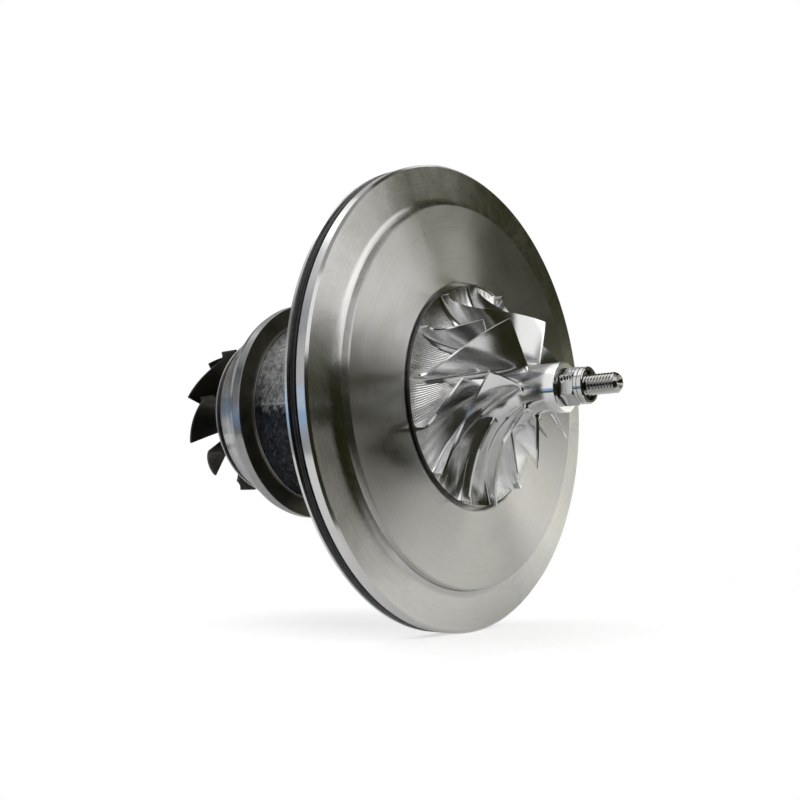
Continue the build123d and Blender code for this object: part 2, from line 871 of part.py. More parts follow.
def housing_cavity():
    """All that is bored and cored out about the rotor axis."""
    bore = bush_bore_radius
    snap_groove = front_bore_radius + snap_ring_bite
    slinger_radius = turbine_bore_radius + slinger_depth
    front = [
        (spigot_front + drill_overrun, 0),
        (spigot_front + drill_overrun, front_bore_radius),
        (snap_front, front_bore_radius),
        (snap_front, snap_groove),
        (seal_plate_front, snap_groove),
        (seal_plate_front, front_bore_radius),
        (thrust_back, front_bore_radius),
        (thrust_back, collar_pocket_radius),
        (collar_pocket_back, collar_pocket_radius),
        (collar_pocket_back, bore),
    ]
    core = [
        (core_front, bore),
        (core_front - core_slope, core_radius),
        (core_back + core_slope, core_radius),
        (core_back, bore),
    ]
    rear = [
        (slinger_front, bore),
        (slinger_front, slinger_radius),
        (turbine_bore_front, slinger_radius),
        (turbine_bore_front, turbine_bore_radius),
        (spigot_back - drill_overrun, turbine_bore_radius),
        (spigot_back - drill_overrun, 0),
    ]
    front_bush = bush_bore_outline((front_ring_1, front_ring_2))
    rear_bush = bush_bore_outline((rear_ring_1, rear_ring_2))
    return turned(front + front_bush + core + rear_bush + rear)


def bearing_housing():
    housing = housing_body()
    housing += oil_pad(oil_inlet_height, oil_inlet_length, oil_inlet_width, 1)
    housing += oil_pad(oil_drain_height, oil_drain_length, oil_drain_width, -1)
    housing -= housing_cavity()
    recess_inner = turbine_bore_radius + end_recess_wall
    recess_outer = recess_inner + end_recess_width
    recess_back = spigot_back - drill_overrun
    housing -= tube(spigot_back + end_recess_depth, recess_back, recess_outer, recess_inner)
    housing -= seal_channel(spigot_seal_station, spigot_radius, spigot_seal_cord)
    screw_end = thrust_screw_seat - thrust_screw_length - thread_runout
    for place in around(thrust_screw_count, thrust_screw_circle, first_thrust_screw_angle):
        housing -= rod_x(thrust_back, screw_end, thrust_screw_radius + thread_fit, place)
    dowel_end = thrust_front - dowel_length - seat_fit
    for place in around(dowel_count, thrust_screw_circle, first_dowel_angle):
        housing -= rod_x(thrust_back, dowel_end, dowel_radius + slip_fit, place)
    return housing - oil_feed() - oil_drain() - pad_stud_holes()


def oil_feed():
    """Drillings from the oil inlet to both bushes and the thrust bearing."""
    x = oil_pad_station
    gallery = (x, 0, body_radius - gallery_depth)
    feeds = drilling((x, 0, oil_inlet_height + drill_overrun), gallery, oil_inlet_bore)
    for front in (front_bush_front, rear_bush_front):
        target = (front - bush_length / 2, 0, bush_bore_radius - seal_fit)
        feeds += drilling(gallery, target, feed_radius)
    return feeds + drilling(gallery, (thrust_back, 0, thrust_screw_circle), feed_radius)


def oil_drain():
    """The drain bore, and slots under the bushes that lead to it from both ends."""
    x = oil_pad_station
    top = -bush_bore_radius - drain_wall
    drain = drilling((x, 0, top), (x, 0, -oil_drain_height - drill_overrun), oil_drain_bore)
    front_length = thrust_back - x
    front_height = front_bore_radius - thrust_collar_radius - drill_overrun
    front_middle = -(front_bore_radius + thrust_collar_radius) / 2
    front_slot = Box(front_length, drain_slot_width, front_height)
    drain += Pos(x + front_length / 2, 0, front_middle) * front_slot
    rear_length = x - (slinger_front - slinger_width / 2)
    rear_height = 2 * slinger_depth
    rear_middle = -turbine_bore_radius - slinger_depth / 2 - rear_height / 2
    rear_slot = Box(rear_length, slinger_slot_width, rear_height)
    return drain + Pos(x - rear_length / 2, 0, rear_middle) * rear_slot


def pad_stud_holes():
    x = oil_pad_station
    top = oil_inlet_height + drill_overrun
    bottom = -oil_drain_height - drill_overrun
    holes = []
    for side in (-1, 1):
        y = side * oil_inlet_spacing / 2
        end = (x, y, oil_inlet_height - inlet_stud_depth)
        holes.append(drilling((x, y, top), end, inlet_stud_radius))
        y = side * oil_drain_spacing / 2
        end = (x, y, drain_stud_depth - oil_drain_height)
        holes.append(drilling((x, y, bottom), end, drain_stud_radius))
    return holes


# Heat shield and turbine wheel
def heat_shield():
    bore = turbine_hub_radius + shield_bore_gap
    rim_inner = shield_radius - shield_thickness
    rim_front = spigot_back + shield_rim - shield_thickness
    return turned([
        (spigot_back, bore),
        (spigot_back, rim_inner - shield_fold),
        (rim_front, rim_inner),
        (rim_front, shield_radius),
        (shield_back + fine_break, shield_radius),
        (shield_back, shield_radius - edge_break),
        (shield_back, bore),
    ])


def turbine_hub(share):
    """Station and radius of the hub between the blades, from the disc at 0 to the exit at 1."""
    start = turbine_back_face - turbine_disc_edge
    fall = turbine_disc_radius - turbine_hub_exit_radius
    radius = turbine_disc_radius - fall * sin(share * pi / 2) ** turbine_hub_curve
    return start - (start - turbine_exit) * share, radius


def turbine_blade_ends(share, angle):
    """Root and tip of a blade, from the inducer's front corner at 0 to the exit at 1."""
    fall = turbine_tip_radius - turbine_exit_radius
    station = turbine_inducer_edge - (turbine_inducer_edge - turbine_exit) * share
    tip_radius = turbine_tip_radius - fall * sqrt(1 - (1 - share) ** 2)
    here = angle - turbine_wrap * share**turbine_wrap_power
    root_radius = turbine_hub_exit_radius * turbine_root_share
    root = polar(station, root_radius, here - turbine_root_lean * share)
    return root, polar(station, tip_radius, here)


def turbine_blade(angle):
    """A straight inducer that turns into a swept tail, its tip falling in a quarter ellipse."""
    steps = 9
    look_ahead = 0.01
    wires = []
    forward = Vector(-1, 0, 0)
    root, tip = turbine_blade_ends(0, angle)
    back = forward * -(turbine_inducer_width - turbine_gap / 4)
    for shift in (back, Vector(0, 0, 0)):
        section = (root + shift, tip + shift, forward)
        wires.append(blade_section(*section, turbine_root_thickness, turbine_tip_thickness))
    for index in range(1, steps + 1):
        share = (index / steps) ** turbine_tail_spacing
        root, tip = turbine_blade_ends(share, angle)
        root_before, tip_before = turbine_blade_ends(share - look_ahead, angle)
        along = root + tip - root_before - tip_before
        section = (root, tip, along)
        wires.append(blade_section(*section, turbine_root_thickness, turbine_tip_thickness))
    return Solid.make_loft(wires, ruled=True)


def turbine_wheel():
    hub_steps = 10
    nose_start = turbine_exit - turbine_nose_chamfer
    outline = [
        (weld_station, 0),
        (weld_station, turbine_hub_radius),
        (turbine_back_face + edge_break, turbine_hub_radius),
        (turbine_back_face, turbine_hub_radius + edge_break),
        (turbine_back_face, turbine_disc_radius),
    ]
    outline += [turbine_hub(index / hub_steps) for index in range(hub_steps + 1)]
    outline += [
        (nose_start, turbine_nose_radius),
        (turbine_nose_end + turbine_nose_chamfer, turbine_nose_radius),
        (turbine_nose_end, turbine_nose_radius - turbine_nose_chamfer),
        (turbine_nose_end, 0),
    ]
    wheel = turned(outline)
    for index in range(turbine_blades):
        wheel += turbine_blade(turbine_blade_angle + 360.0 * index / turbine_blades)
    return wheel


nodes = {
    "compressor_backplate": compressor_backplate(),
    "backplate_rim_seal": backplate_rim_seal(),
    "bearing_housing": bearing_housing(),
    "housing_front_flange": housing_front_flange(),
    "housing_turbine_flange": housing_turbine_flange(),
    "housing_spigot_seal": spigot_seal(),
    "seal_plate": seal_plate(),
    "seal_plate_seal": seal_plate_seal(),
    "seal_plate_snap_ring": seal_plate_snap_ring(),
    "oil_baffle": oil_baffle(),
    "thrust_bearing": thrust_bearing(),
    "heat_shield": heat_shield(),
    "compressor_side_bush": floating_bush(front_bush_front),
    "turbine_side_bush": floating_bush(rear_bush_front),
    "rotor_shaft": rotor_shaft(),
    "thrust_collar": thrust_collar(),
    "thrust_sleeve": thrust_sleeve(),
    "compressor_wheel": compressor_wheel(),
    "shaft_nut": shaft_nut(),
    "turbine_wheel": turbine_wheel(),
}


def add_numbered(name, shapes):
    for index, shape in enumerate(shapes, 1):
        nodes[f"{name}_{index}"] = shape


bolt_places = around(bolt_count, bolt_circle, first_bolt_angle)
screw_places = around(thrust_screw_count, thrust_screw_circle, first_thrust_screw_angle)
dowel_places = around(dowel_count, thrust_screw_circle, first_dowel_angle)
ring_stations = (front_ring_1, front_ring_2, rear_ring_1, rear_ring_2)
sleeve_rings = seal_ring_stations(seal_plate_front)
hub_rings = seal_ring_stations(turbine_bore_front)
add_numbered("backplate_bolt", [backplate_bolt(place) for place in bolt_places])
add_numbered("backplate_bolt_washer", [backplate_washer(place) for place in bolt_places])
add_numbered("thrust_bearing_screw", [thrust_screw(place) for place in screw_places])
add_numbered("thrust_dowel", [thrust_dowel(place) for place in dowel_places])
add_numbered("bush_snap_ring", [bush_snap_ring(station) for station in ring_stations])
add_numbered("compressor_seal_ring", [seal_ring(s, sleeve_bore_radius) for s in sleeve_rings])
add_numbered("turbine_seal_ring", [seal_ring(s, turbine_bore_radius) for s in hub_rings])

os.makedirs("parts", exist_ok=True)
for name, shape in nodes.items():
    export_step(shape, f"parts/{name}.step")
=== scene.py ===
import json
import math

import bmesh
import bpy
import numpy as np
from mathutils import Matrix, Vector


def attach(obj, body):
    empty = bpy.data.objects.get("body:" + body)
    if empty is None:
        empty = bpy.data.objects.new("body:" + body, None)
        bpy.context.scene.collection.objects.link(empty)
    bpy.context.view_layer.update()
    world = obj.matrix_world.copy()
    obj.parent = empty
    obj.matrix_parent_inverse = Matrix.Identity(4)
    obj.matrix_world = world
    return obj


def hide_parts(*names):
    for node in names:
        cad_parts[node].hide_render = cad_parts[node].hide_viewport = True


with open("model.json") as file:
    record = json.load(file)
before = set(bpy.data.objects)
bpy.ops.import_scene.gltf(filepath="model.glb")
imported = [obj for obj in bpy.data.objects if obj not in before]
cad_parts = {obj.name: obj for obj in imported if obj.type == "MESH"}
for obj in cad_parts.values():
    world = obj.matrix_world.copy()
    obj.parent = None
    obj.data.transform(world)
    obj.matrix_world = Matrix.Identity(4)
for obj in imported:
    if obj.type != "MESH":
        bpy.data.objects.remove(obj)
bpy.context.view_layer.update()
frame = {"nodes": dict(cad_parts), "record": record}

# Lengths are written in millimetres, and every mesh is scaled to metres when it is made.
# The rotor axis is X, the nose points to plus X, and angles run from plus Z towards plus Y.
# An outline is a list of (station, radius) corners, where a station is a place along the axis.
MM = 0.001


# Mesh helpers
def outward(obj):
    """Turns all faces outwards."""
    work = bmesh.new()
    work.from_mesh(obj.data)
    bmesh.ops.recalc_face_normals(work, faces=work.faces)
    work.to_mesh(obj.data)
    work.free()


def make_object(name, points, faces, sharp_angle=30.0, uv=None):
    """A mesh object from points in millimetres, faced outwards and smooth except over sharp edges."""
    mesh = bpy.data.meshes.new(name)
    mesh.from_pydata([(x * MM, y * MM, z * MM) for x, y, z in points], [], faces)
    mesh.validate()
    for polygon in mesh.polygons:
        polygon.use_smooth = True
    mesh.set_sharp_from_angle(angle=math.radians(sharp_angle))
    if uv is not None:
        layer = mesh.uv_layers.new(name="lanes")
        for loop in mesh.loops:
            layer.data[loop.index].uv = uv[loop.vertex_index]
    obj = bpy.data.objects.new(name, mesh)
    bpy.context.scene.collection.objects.link(obj)
    outward(obj)
    return obj


def turn_point(station, radius, angle):
    """A point by its station, its radius about the axis and its angle in degrees."""
    turn = math.radians(angle)
    return (station, radius * math.sin(turn), radius * math.cos(turn))


def band_faces(a, b, width, closed=True):
    """Faces between two rows of points, which start at points a and b and hold width points each."""
    count = width if closed else width - 1
    return [[a + i, a + (i + 1) % width, b + (i + 1) % width, b + i] for i in range(count)]


def lathe(name, outline, segments=256, sharp_angle=30.0):
    """A solid turned about the rotor axis. A corner at radius 0 becomes a single point."""
    points, faces, rows = [], [], []
    for station, radius in outline:
        start = len(points)
        if radius == 0:
            points.append((station, 0.0, 0.0))
            rows.append([start] * segments)
            continue
        points += [turn_point(station, radius, 360.0 * index / segments) for index in range(segments)]
        rows.append(list(range(start, start + segments)))
    for a, b in zip(rows, rows[1:] + rows[:1]):
        for index in range(segments):
            after = (index + 1) % segments
            corners = list(dict.fromkeys([a[index], a[after], b[after], b[index]]))
            if len(corners) > 2:
                faces.append(corners)
    return make_object(name, points, faces, sharp_angle)


def fillet_flare(distance, fillet):
    """How far a round fillet stands out from a wall at a distance from the wall's foot."""
    if distance >= fillet:
        return 0.0
    return fillet - math.sqrt(max(0.0, fillet**2 - (fillet - max(distance, 0.0)) ** 2))


def blade_skin(sections):
    """Sides, tip and ends of a blade. A section lists (middle, normal, half, uv) from root to tip."""
    points, faces, uv = [], [], []
    width = 2 * len(sections[0])
    for section in sections:
        for middle, normal, half, place in section:
            points.append(tuple(middle - normal * half))
            uv.append(place)
        for middle, normal, half, place in reversed(section):
            points.append(tuple(middle + normal * half))
            uv.append(place)
    last = len(points) - width
    for start in range(0, last, width):
        faces += band_faces(start, start + width, width, closed=False)
    faces.append(list(reversed(range(width))))
    faces.append(list(range(last, last + width)))
    return points, faces, uv


def join_parts(parts):
    """One set of points, faces and uv places from several."""
    points, faces, uv = [], [], []
    for some_points, some_faces, some_uv in parts:
        start = len(points)
        points += some_points
        uv += some_uv
        faces += [[start + corner for corner in face] for face in some_faces]
    return points, faces, uv


def lattice_noise(points, size, seed):
    """Smooth random values from 0 to 1 at points in millimetres, with grains of a given size."""
    table = np.random.default_rng(seed).random(4096)
    place = points / size
    base = np.floor(place).astype(np.int64)
    part = place - base
    part = part * part * (3 - 2 * part)
    total = np.zeros(len(place))
    for corner in range(8):
        offset = np.array([corner & 1, corner >> 1 & 1, corner >> 2 & 1])
        cell = base + offset
        key = (cell[:, 0] * 73856093 ^ cell[:, 1] * 19349663 ^ cell[:, 2] * 83492791) % len(table)
        total += table[key] * np.prod(np.where(offset, part, 1 - part), axis=1)
    return total


# Node helpers
class Maker:
    """Builds one node material. Its lengths are metres, and a noise scale counts grains in a metre."""

    def __init__(self, name):
        self.material = bpy.data.materials.new(name)
        self.material.use_nodes = True
        self.tree = self.material.node_tree
        self.tree.nodes.clear()
        self.output = self.tree.nodes.new("ShaderNodeOutputMaterial")
        self.shader = self.tree.nodes.new("ShaderNodeBsdfPrincipled")
        self.tree.links.new(self.shader.outputs["BSDF"], self.output.inputs["Surface"])
        coordinates = self.tree.nodes.new("ShaderNodeTexCoord")
        self.place = coordinates.outputs["Object"]

    def link(self, value, socket):
        if isinstance(value, bpy.types.NodeSocket):
            self.tree.links.new(value, socket)
        else:
            socket.default_value = value

    def math(self, operation, a, b=0.0):
        node = self.tree.nodes.new("ShaderNodeMath")
        node.operation = operation
        for socket, value in zip(node.inputs, (a, b)):
            self.link(value, socket)
        return node.outputs[0]

    def split(self, vector):
        node = self.tree.nodes.new("ShaderNodeSeparateXYZ")
        self.link(vector, node.inputs[0])
        return node.outputs[0], node.outputs[1], node.outputs[2]

    def radius(self):
        """Distance from the rotor axis."""
        _, y, z = self.split(self.place)
        across = self.tree.nodes.new("ShaderNodeCombineXYZ")
        self.link(y, across.inputs[1])
        self.link(z, across.inputs[2])
        length = self.tree.nodes.new("ShaderNodeVectorMath")
        length.operation = "LENGTH"
        self.link(across.outputs[0], length.inputs[0])
        return length.outputs["Value"]

    def noise(self, scale, detail, roughness=0.5, distortion=0.0):
        node = self.tree.nodes.new("ShaderNodeTexNoise")
        self.link(self.place, node.inputs["Vector"])
        node.inputs["Scale"].default_value = scale
        node.inputs["Detail"].default_value = detail
        node.inputs["Roughness"].default_value = roughness
        node.inputs["Distortion"].default_value = distortion
        return node.outputs["Fac"]

    def noise_line(self, along, scale, detail, roughness):
        """Noise that varies with one value alone, for rings and lanes."""
        node = self.tree.nodes.new("ShaderNodeTexNoise")
        node.noise_dimensions = "1D"
        self.link(along, node.inputs["W"])
        node.inputs["Scale"].default_value = scale
        node.inputs["Detail"].default_value = detail
        node.inputs["Roughness"].default_value = roughness
        return node.outputs["Fac"]

    def cells(self, scale):
        """Distance from the nearest of many scattered spots."""
        node = self.tree.nodes.new("ShaderNodeTexVoronoi")
        self.link(self.place, node.inputs["Vector"])
        node.inputs["Scale"].default_value = scale
        return node.outputs["Distance"]

    def spread(self, value, low, high, to_low=0.0, to_high=1.0):
        node = self.tree.nodes.new("ShaderNodeMapRange")
        self.link(value, node.inputs["Value"])
        node.inputs["From Min"].default_value = low
        node.inputs["From Max"].default_value = high
        node.inputs["To Min"].default_value = to_low
        node.inputs["To Max"].default_value = to_high
        return node.outputs["Result"]

    def mix(self, factor, a, b):
        node = self.tree.nodes.new("ShaderNodeMix")
        node.data_type = "RGBA"
        self.link(factor, node.inputs[0])
        self.link(a, node.inputs[6])
        self.link(b, node.inputs[7])
        return node.outputs[2]

    def bump(self, height, distance):
        node = self.tree.nodes.new("ShaderNodeBump")
        self.link(height, node.inputs["Height"])
        node.inputs["Distance"].default_value = distance
        return node.outputs["Normal"]

    def set(self, **values):
        names = {
            "color": "Base Color",
            "metallic": "Metallic",
            "roughness": "Roughness",
            "normal": "Normal",
            "anisotropic": "Anisotropic",
            "specular": "Specular IOR Level",
        }
        for key, value in values.items():
            self.link(value, self.shader.inputs[names[key]])

    def turned_about_x(self):
        """Stretches reflections across the rings that a lathe leaves about the rotor axis."""
        node = self.tree.nodes.new("ShaderNodeTangent")
        node.direction_type = "RADIAL"
        node.axis = "X"
        self.link(node.outputs["Tangent"], self.shader.inputs["Tangent"])
        self.shader.inputs["Anisotropic Rotation"].default_value = 0.25


def rgb(r, g, b):
    return (r, g, b, 1.0)


def shade(tint, tone):
    return rgb(*[tone * part for part in tint])


# Materials
WARM = (1.0, 0.985, 0.94)
NEUTRAL = (1.0, 1.0, 1.0)


def turned_material(name, tone, roughness, anisotropy, ring_depth, tint=WARM):
    """Metal turned on a lathe, with fine and wide rings about the axis and faint smudges."""
    m = Maker(name)
    x, _, _ = m.split(m.place)
    along = m.math("ADD", m.radius(), m.math("MULTIPLY", x, 0.83))
    fine = m.noise_line(along, 9000.0, 3.0, 0.75)
    wide = m.noise_line(along, 700.0, 2.0, 0.5)
    smudge = m.noise(38.0, 4.0, 0.6, 0.6)
    color = m.mix(m.spread(smudge, 0.3, 0.7), shade(tint, tone * 0.9), shade(NEUTRAL, tone))
    color = m.mix(m.spread(wide, 0.35, 0.65, 0.0, 0.2), color, shade((0.8, 0.79, 0.76), tone))
    ringed = m.spread(fine, 0.2, 0.8, roughness - 0.05, roughness + 0.07)
    rough = m.math("ADD", ringed, m.spread(smudge, 0.35, 0.75, -0.03, 0.05))
    m.set(color=color, metallic=1.0, roughness=rough, anisotropic=anisotropy)
    m.set(normal=m.bump(m.math("ADD", fine, m.math("MULTIPLY", wide, 0.7)), ring_depth))
    m.turned_about_x()
    return m.material


def rubber_material(name, clean, dusty):
    m = Maker(name)
    dust = m.noise(160.0, 5.0, 0.7)
    m.set(color=m.mix(m.spread(dust, 0.45, 0.8), clean, dusty), specular=0.22)
    m.set(roughness=m.spread(dust, 0.3, 0.7, 0.24, 0.4))
    m.set(normal=m.bump(m.noise(2600.0, 2.0), 0.00002))
    return m.material


def milled_material(name, cusp_depth, rough_low, rough_high):
    """Aluminium cut with a ball-nosed tool along the blades. The lanes map holds the tool's lanes."""
    m = Maker(name)
    lanes = m.tree.nodes.new("ShaderNodeUVMap")
    lanes.uv_map = "lanes"
    lane, share, _ = m.split(lanes.outputs["UV"])
    saw = m.math("FRACT", lane)
    scallop = m.math("ABSOLUTE", m.math("SUBTRACT", m.math("MULTIPLY", saw, 2.0), 1.0))
    cusp = m.math("POWER", scallop, 4.0)
    fine = m.noise_line(lane, 6.3, 3.0, 0.7)
    patch = m.noise(60.0, 3.0, 0.55, 0.4)
    grain = m.noise(1900.0, 2.0, 0.6)
    worn = m.spread(patch, 0.36, 0.62, 0.3, 1.0)
    height = m.math("MULTIPLY", m.math("ADD", cusp, m.math("MULTIPLY", fine, 0.5)), worn)
    height = m.math("ADD", height, m.math("MULTIPLY", grain, 0.12))
    speck = m.spread(m.cells(210.0), 0.0, 0.075, 1.0, 0.0)
    color = m.mix(m.spread(patch, 0.3, 0.7), rgb(0.86, 0.86, 0.85), rgb(0.93, 0.935, 0.94))
    color = m.mix(m.math("MULTIPLY", speck, m.spread(patch, 0.5, 0.6)), color, rgb(0.10, 0.10, 0.10))
    patched = m.spread(patch, 0.3, 0.7, rough_low, rough_high)
    rough = m.math("ADD", patched, m.math("MULTIPLY", share, 0.03))
    m.set(color=color, metallic=1.0, roughness=rough)
    m.set(normal=m.bump(height, cusp_depth))
    return m.material


def cast_material(name):
    """Blasted iron casting, bright on its worn ridges, with painted shade that darkens it under the parting
    line and painted light that brightens it towards the top.
    """
    m = Maker(name)
    _, _, z = m.split(m.place)
    coarse = m.noise(420.0, 6.0, 0.7)
    worn = m.tree.nodes.new("ShaderNodeAttribute")
    worn.attribute_name = "worn"
    worn = worn.outputs["Fac"]
    wander = m.math("MULTIPLY", m.math("SUBTRACT", coarse, 0.5), 0.004)
    # Painted shade: under the parting line the colour turns dark, in place of the shade beneath the barrel.
    under = m.spread(m.math("ADD", z, wander), -0.0028, -0.0008, 1.0, 0.0)
    stain = m.noise(95.0, 5.0, 0.65, 0.4)
    # Painted light: both tones grow lighter towards the top of the barrel, where the light falls.
    upper = m.spread(z, 0.0, 0.024)
    deep = m.mix(upper, rgb(0.035, 0.036, 0.038), rgb(0.15, 0.15, 0.145))
    high = m.mix(upper, rgb(0.20, 0.205, 0.21), rgb(0.50, 0.50, 0.48))
    bright = m.mix(m.spread(coarse, 0.35, 0.62), deep, high)
    # The dark tones below the seam are painted shade, mottled by random stains.
    dark = m.mix(m.spread(coarse, 0.4, 0.72), rgb(0.012, 0.014, 0.017), rgb(0.075, 0.086, 0.10))
    dark = m.mix(m.spread(stain, 0.35, 0.7, 0.0, 0.6), dark, rgb(0.010, 0.011, 0.013))
    color = m.mix(m.math("MULTIPLY", worn, 0.85), m.mix(under, bright, dark), rgb(0.78, 0.79, 0.80))
    m.set(color=color, metallic=0.85, roughness=m.spread(coarse, 0.3, 0.75, 0.52, 0.32))
    height = m.math("ADD", coarse, m.math("MULTIPLY", m.cells(900.0), 0.3))
    m.set(normal=m.bump(height, 0.00022))
    return m.material


def dark_face_material(name):
    """Smooth casting face, coloured olive black as painted shade, with faint turning marks."""
    m = Maker(name)
    rings = m.noise_line(m.radius(), 2600.0, 3.0, 0.6)
    patch = m.noise(70.0, 5.0, 0.6, 0.5)
    color = m.mix(m.spread(patch, 0.35, 0.7), rgb(0.10, 0.097, 0.072), rgb(0.20, 0.19, 0.145))
    m.set(color=color, metallic=0.8, roughness=m.spread(patch, 0.3, 0.7, 0.30, 0.42))
    m.set(normal=m.bump(rings, 0.000012))
    return m.material


def dark_alloy_material(name):
    m = Maker(name)
    grain = m.noise(900.0, 5.0, 0.65)
    patch = m.noise(45.0, 4.0, 0.6, 0.5)
    color = m.mix(m.spread(patch, 0.35, 0.7), rgb(0.030, 0.029, 0.024), rgb(0.075, 0.068, 0.052))
    m.set(color=color, metallic=0.75, roughness=m.spread(grain, 0.3, 0.7, 0.38, 0.56))
    m.set(normal=m.bump(grain, 0.00006))
    return m.material


def steel_material(name, tone, roughness, anisotropy=0.0, tint=NEUTRAL):
    m = Maker(name)
    patch = m.noise(70.0, 4.0, 0.6, 0.4)
    low = rgb(tone * 0.82 * tint[0], tone * 0.82 * tint[1], tone * 0.8 * tint[2])
    m.set(color=m.mix(m.spread(patch, 0.3, 0.7), low, shade(tint, tone)), metallic=1.0)
    m.set(roughness=m.spread(patch, 0.3, 0.7, roughness - 0.04, roughness + 0.06), anisotropic=anisotropy)
    m.set(normal=m.bump(m.noise(1500.0, 3.0, 0.6), 0.000012))
    if anisotropy:
        m.turned_about_x()
    return m.material


MATERIALS = {
    "machined_aluminium": turned_material("turned_aluminium", 0.82, 0.31, 1.0, 0.0000022),
    "plate_outer": turned_material("turned_outer_face", 0.84, 0.25, 1.0, 0.0000012),
    "plate_rim": turned_material("turned_rim", 0.86, 0.17, 0.7, 0.0000008),
    "milled_aluminium": milled_material("milled_aluminium", 0.000003, 0.13, 0.19),
    "milled_blade": milled_material("milled_blade", 0.000007, 0.13, 0.21),
    "wheel_nose": turned_material("turned_nose", 0.92, 0.12, 0.3, 0.0000006, NEUTRAL),
    "black_rubber": rubber_material("black_rubber", rgb(0.006, 0.006, 0.007), rgb(0.03, 0.03, 0.032)),
    # The flash lines' light greys are a painted highlight on the black cord.
    "flash_line_highlight": rubber_material("flash_line_highlight", rgb(0.10, 0.105, 0.11), rgb(0.22, 0.225, 0.23)),
    "cast_iron_housing": cast_material("cast_housing"),
    "housing_turned": turned_material("turned_iron", 0.46, 0.24, 0.8, 0.000002, (0.7, 0.7, 0.7)),
    # The flange's face is coloured near black as painted shade.
    "housing_dark": dark_face_material("flange_face_painted_shade"),
    "bronze": steel_material("bearing_bronze", 0.62, 0.25, 0.6, (1.0, 0.74, 0.42)),
    "dark_nickel_alloy": dark_alloy_material("dark_nickel_alloy"),
    "pressed_steel": turned_material("pressed_steel", 0.50, 0.3, 0.6, 0.000002, (1.0, 0.96, 0.82)),
    "zinc_plated_steel": steel_material("zinc_plate", 0.6, 0.34, 0.0, (1.0, 0.98, 0.9)),
    "bright_steel": steel_material("polished_steel", 0.70, 0.09),
    "black_oxide": steel_material("black_oxide", 0.085, 0.22, 0.0, (1.0, 0.99, 0.82)),
    "ground_steel": turned_material("ground_steel", 0.60, 0.14, 0.3, 0.0000006),
}


def dress(obj, material, body, replaced=()):
    """Gives a piece its material, its body and the CAD nodes that it replaces."""
    obj.data.materials.append(MATERIALS[material])
    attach(obj, body)
    if replaced:
        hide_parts(*replaced)


def paint(obj, materials, choose):
    """Adds materials, and gives each face the slot number that choose(station, radius) returns."""
    for key in materials:
        obj.data.materials.append(MATERIALS[key])
    for polygon in obj.data.polygons:
        station, y, z = polygon.center / MM
        polygon.material_index = choose(station, math.hypot(y, z))


# Backplate, with station 0 at the front of its rim
RIM_RADIUS = 96.0
RIM_BACK = -10.1
OUTER_FACE = 0.9
COVE_START = 82.4
COVE_FOOT = (1.7, 79.5)
COVE_STEPS = 8
RAISED_FACE = 4.8
RAISED_RADIUS = 78.9
RAISED_EDGE = 0.5
POCKET_RADIUS = 47.0
POCKET_FLOOR = 1.62
BORE_RADIUS = 38.02
BOSS_RADIUS = 64.0
BOSS_BACK = -21.0
BOSS_EDGE = 1.0
WEB_BACK = -7.6
GROOVE_FRONT = -3.8
GROOVE_BACK = -8.4
GROOVE_RADIUS = 92.6


def cove():
    """The hollow round that leaves the outer face smoothly and ends at the raised face's foot."""
    rise = COVE_FOOT[0] - OUTER_FACE
    reach = COVE_START - COVE_FOOT[1]
    radius = (reach**2 + rise**2) / (2 * rise)
    corners = []
    for step in range(COVE_STEPS):
        turn = math.asin(reach / radius) * step / COVE_STEPS
        corners.append((OUTER_FACE + radius * (1 - math.cos(turn)), COVE_START - radius * math.sin(turn)))
    return corners + [COVE_FOOT]


def plate_finish(station, radius):
    """2 for the rim and the step's bright wall, 1 for the outer face and 0 for the rest."""
    if radius > 95.0 or 0.95 < station < 4.4 and 78.6 < radius < 79.4:
        return 2
    return int(station > -0.1 and radius > 79.4)


def backplate():
    step = [(1.35, 79.325), (2.05, 79.15), (RAISED_FACE - RAISED_EDGE, RAISED_RADIUS)]
    face = [(RAISED_FACE, RAISED_RADIUS - RAISED_EDGE), (RAISED_FACE, POCKET_RADIUS + RAISED_EDGE)]
    pocket = [(RAISED_FACE - RAISED_EDGE, POCKET_RADIUS), (POCKET_FLOOR, POCKET_RADIUS)]
    bore = [(POCKET_FLOOR - 1.0, BORE_RADIUS), (BOSS_BACK, BORE_RADIUS)]
    boss = [(BOSS_BACK, BOSS_RADIUS - BOSS_EDGE), (BOSS_BACK + BOSS_EDGE, BOSS_RADIUS), (-10.6, BOSS_RADIUS)]
    root = [(-9.72, 64.3), (-8.48, 65.12), (-7.9, 65.9), (WEB_BACK, 67.0), (WEB_BACK, 88.0)]
    back = [(RIM_BACK, 90.0), (RIM_BACK, 95.4), (-9.5, RIM_RADIUS), (GROOVE_BACK, RIM_RADIUS)]
    groove = [(GROOVE_BACK, GROOVE_RADIUS), (GROOVE_FRONT, GROOVE_RADIUS), (GROOVE_FRONT, RIM_RADIUS)]
    front = [(0.0, RIM_RADIUS), (OUTER_FACE, 95.1)]
    outline = cove() + step + face + pocket + bore + boss + root + back + groove + front
    plate = lathe("backplate", outline, 512, sharp_angle=12.0)
    dress(plate, "machined_aluminium", "cartridge", ["compressor_backplate"])
    paint(plate, ["plate_outer", "plate_rim"], plate_finish)


# Rim seal
SEAL_STATION = -6.1
SEAL_RADIUS = 94.27
CORD_RADIUS = 1.62
CORD_STEPS = 72
FLASH_HEIGHT = 0.08


def on_flash(turn):
    """Whether an angle about the cord's middle lies on one of the two flash lines that the mould left."""
    return 57 < turn < 67 or 113 < turn < 122


# 1 for the flash lines, which are coloured light grey as a painted highlight, and 0 for the black cord.
def seal_highlight_slot(station, radius):
    return int(on_flash(math.degrees(math.atan2(radius - SEAL_RADIUS, station - SEAL_STATION))))


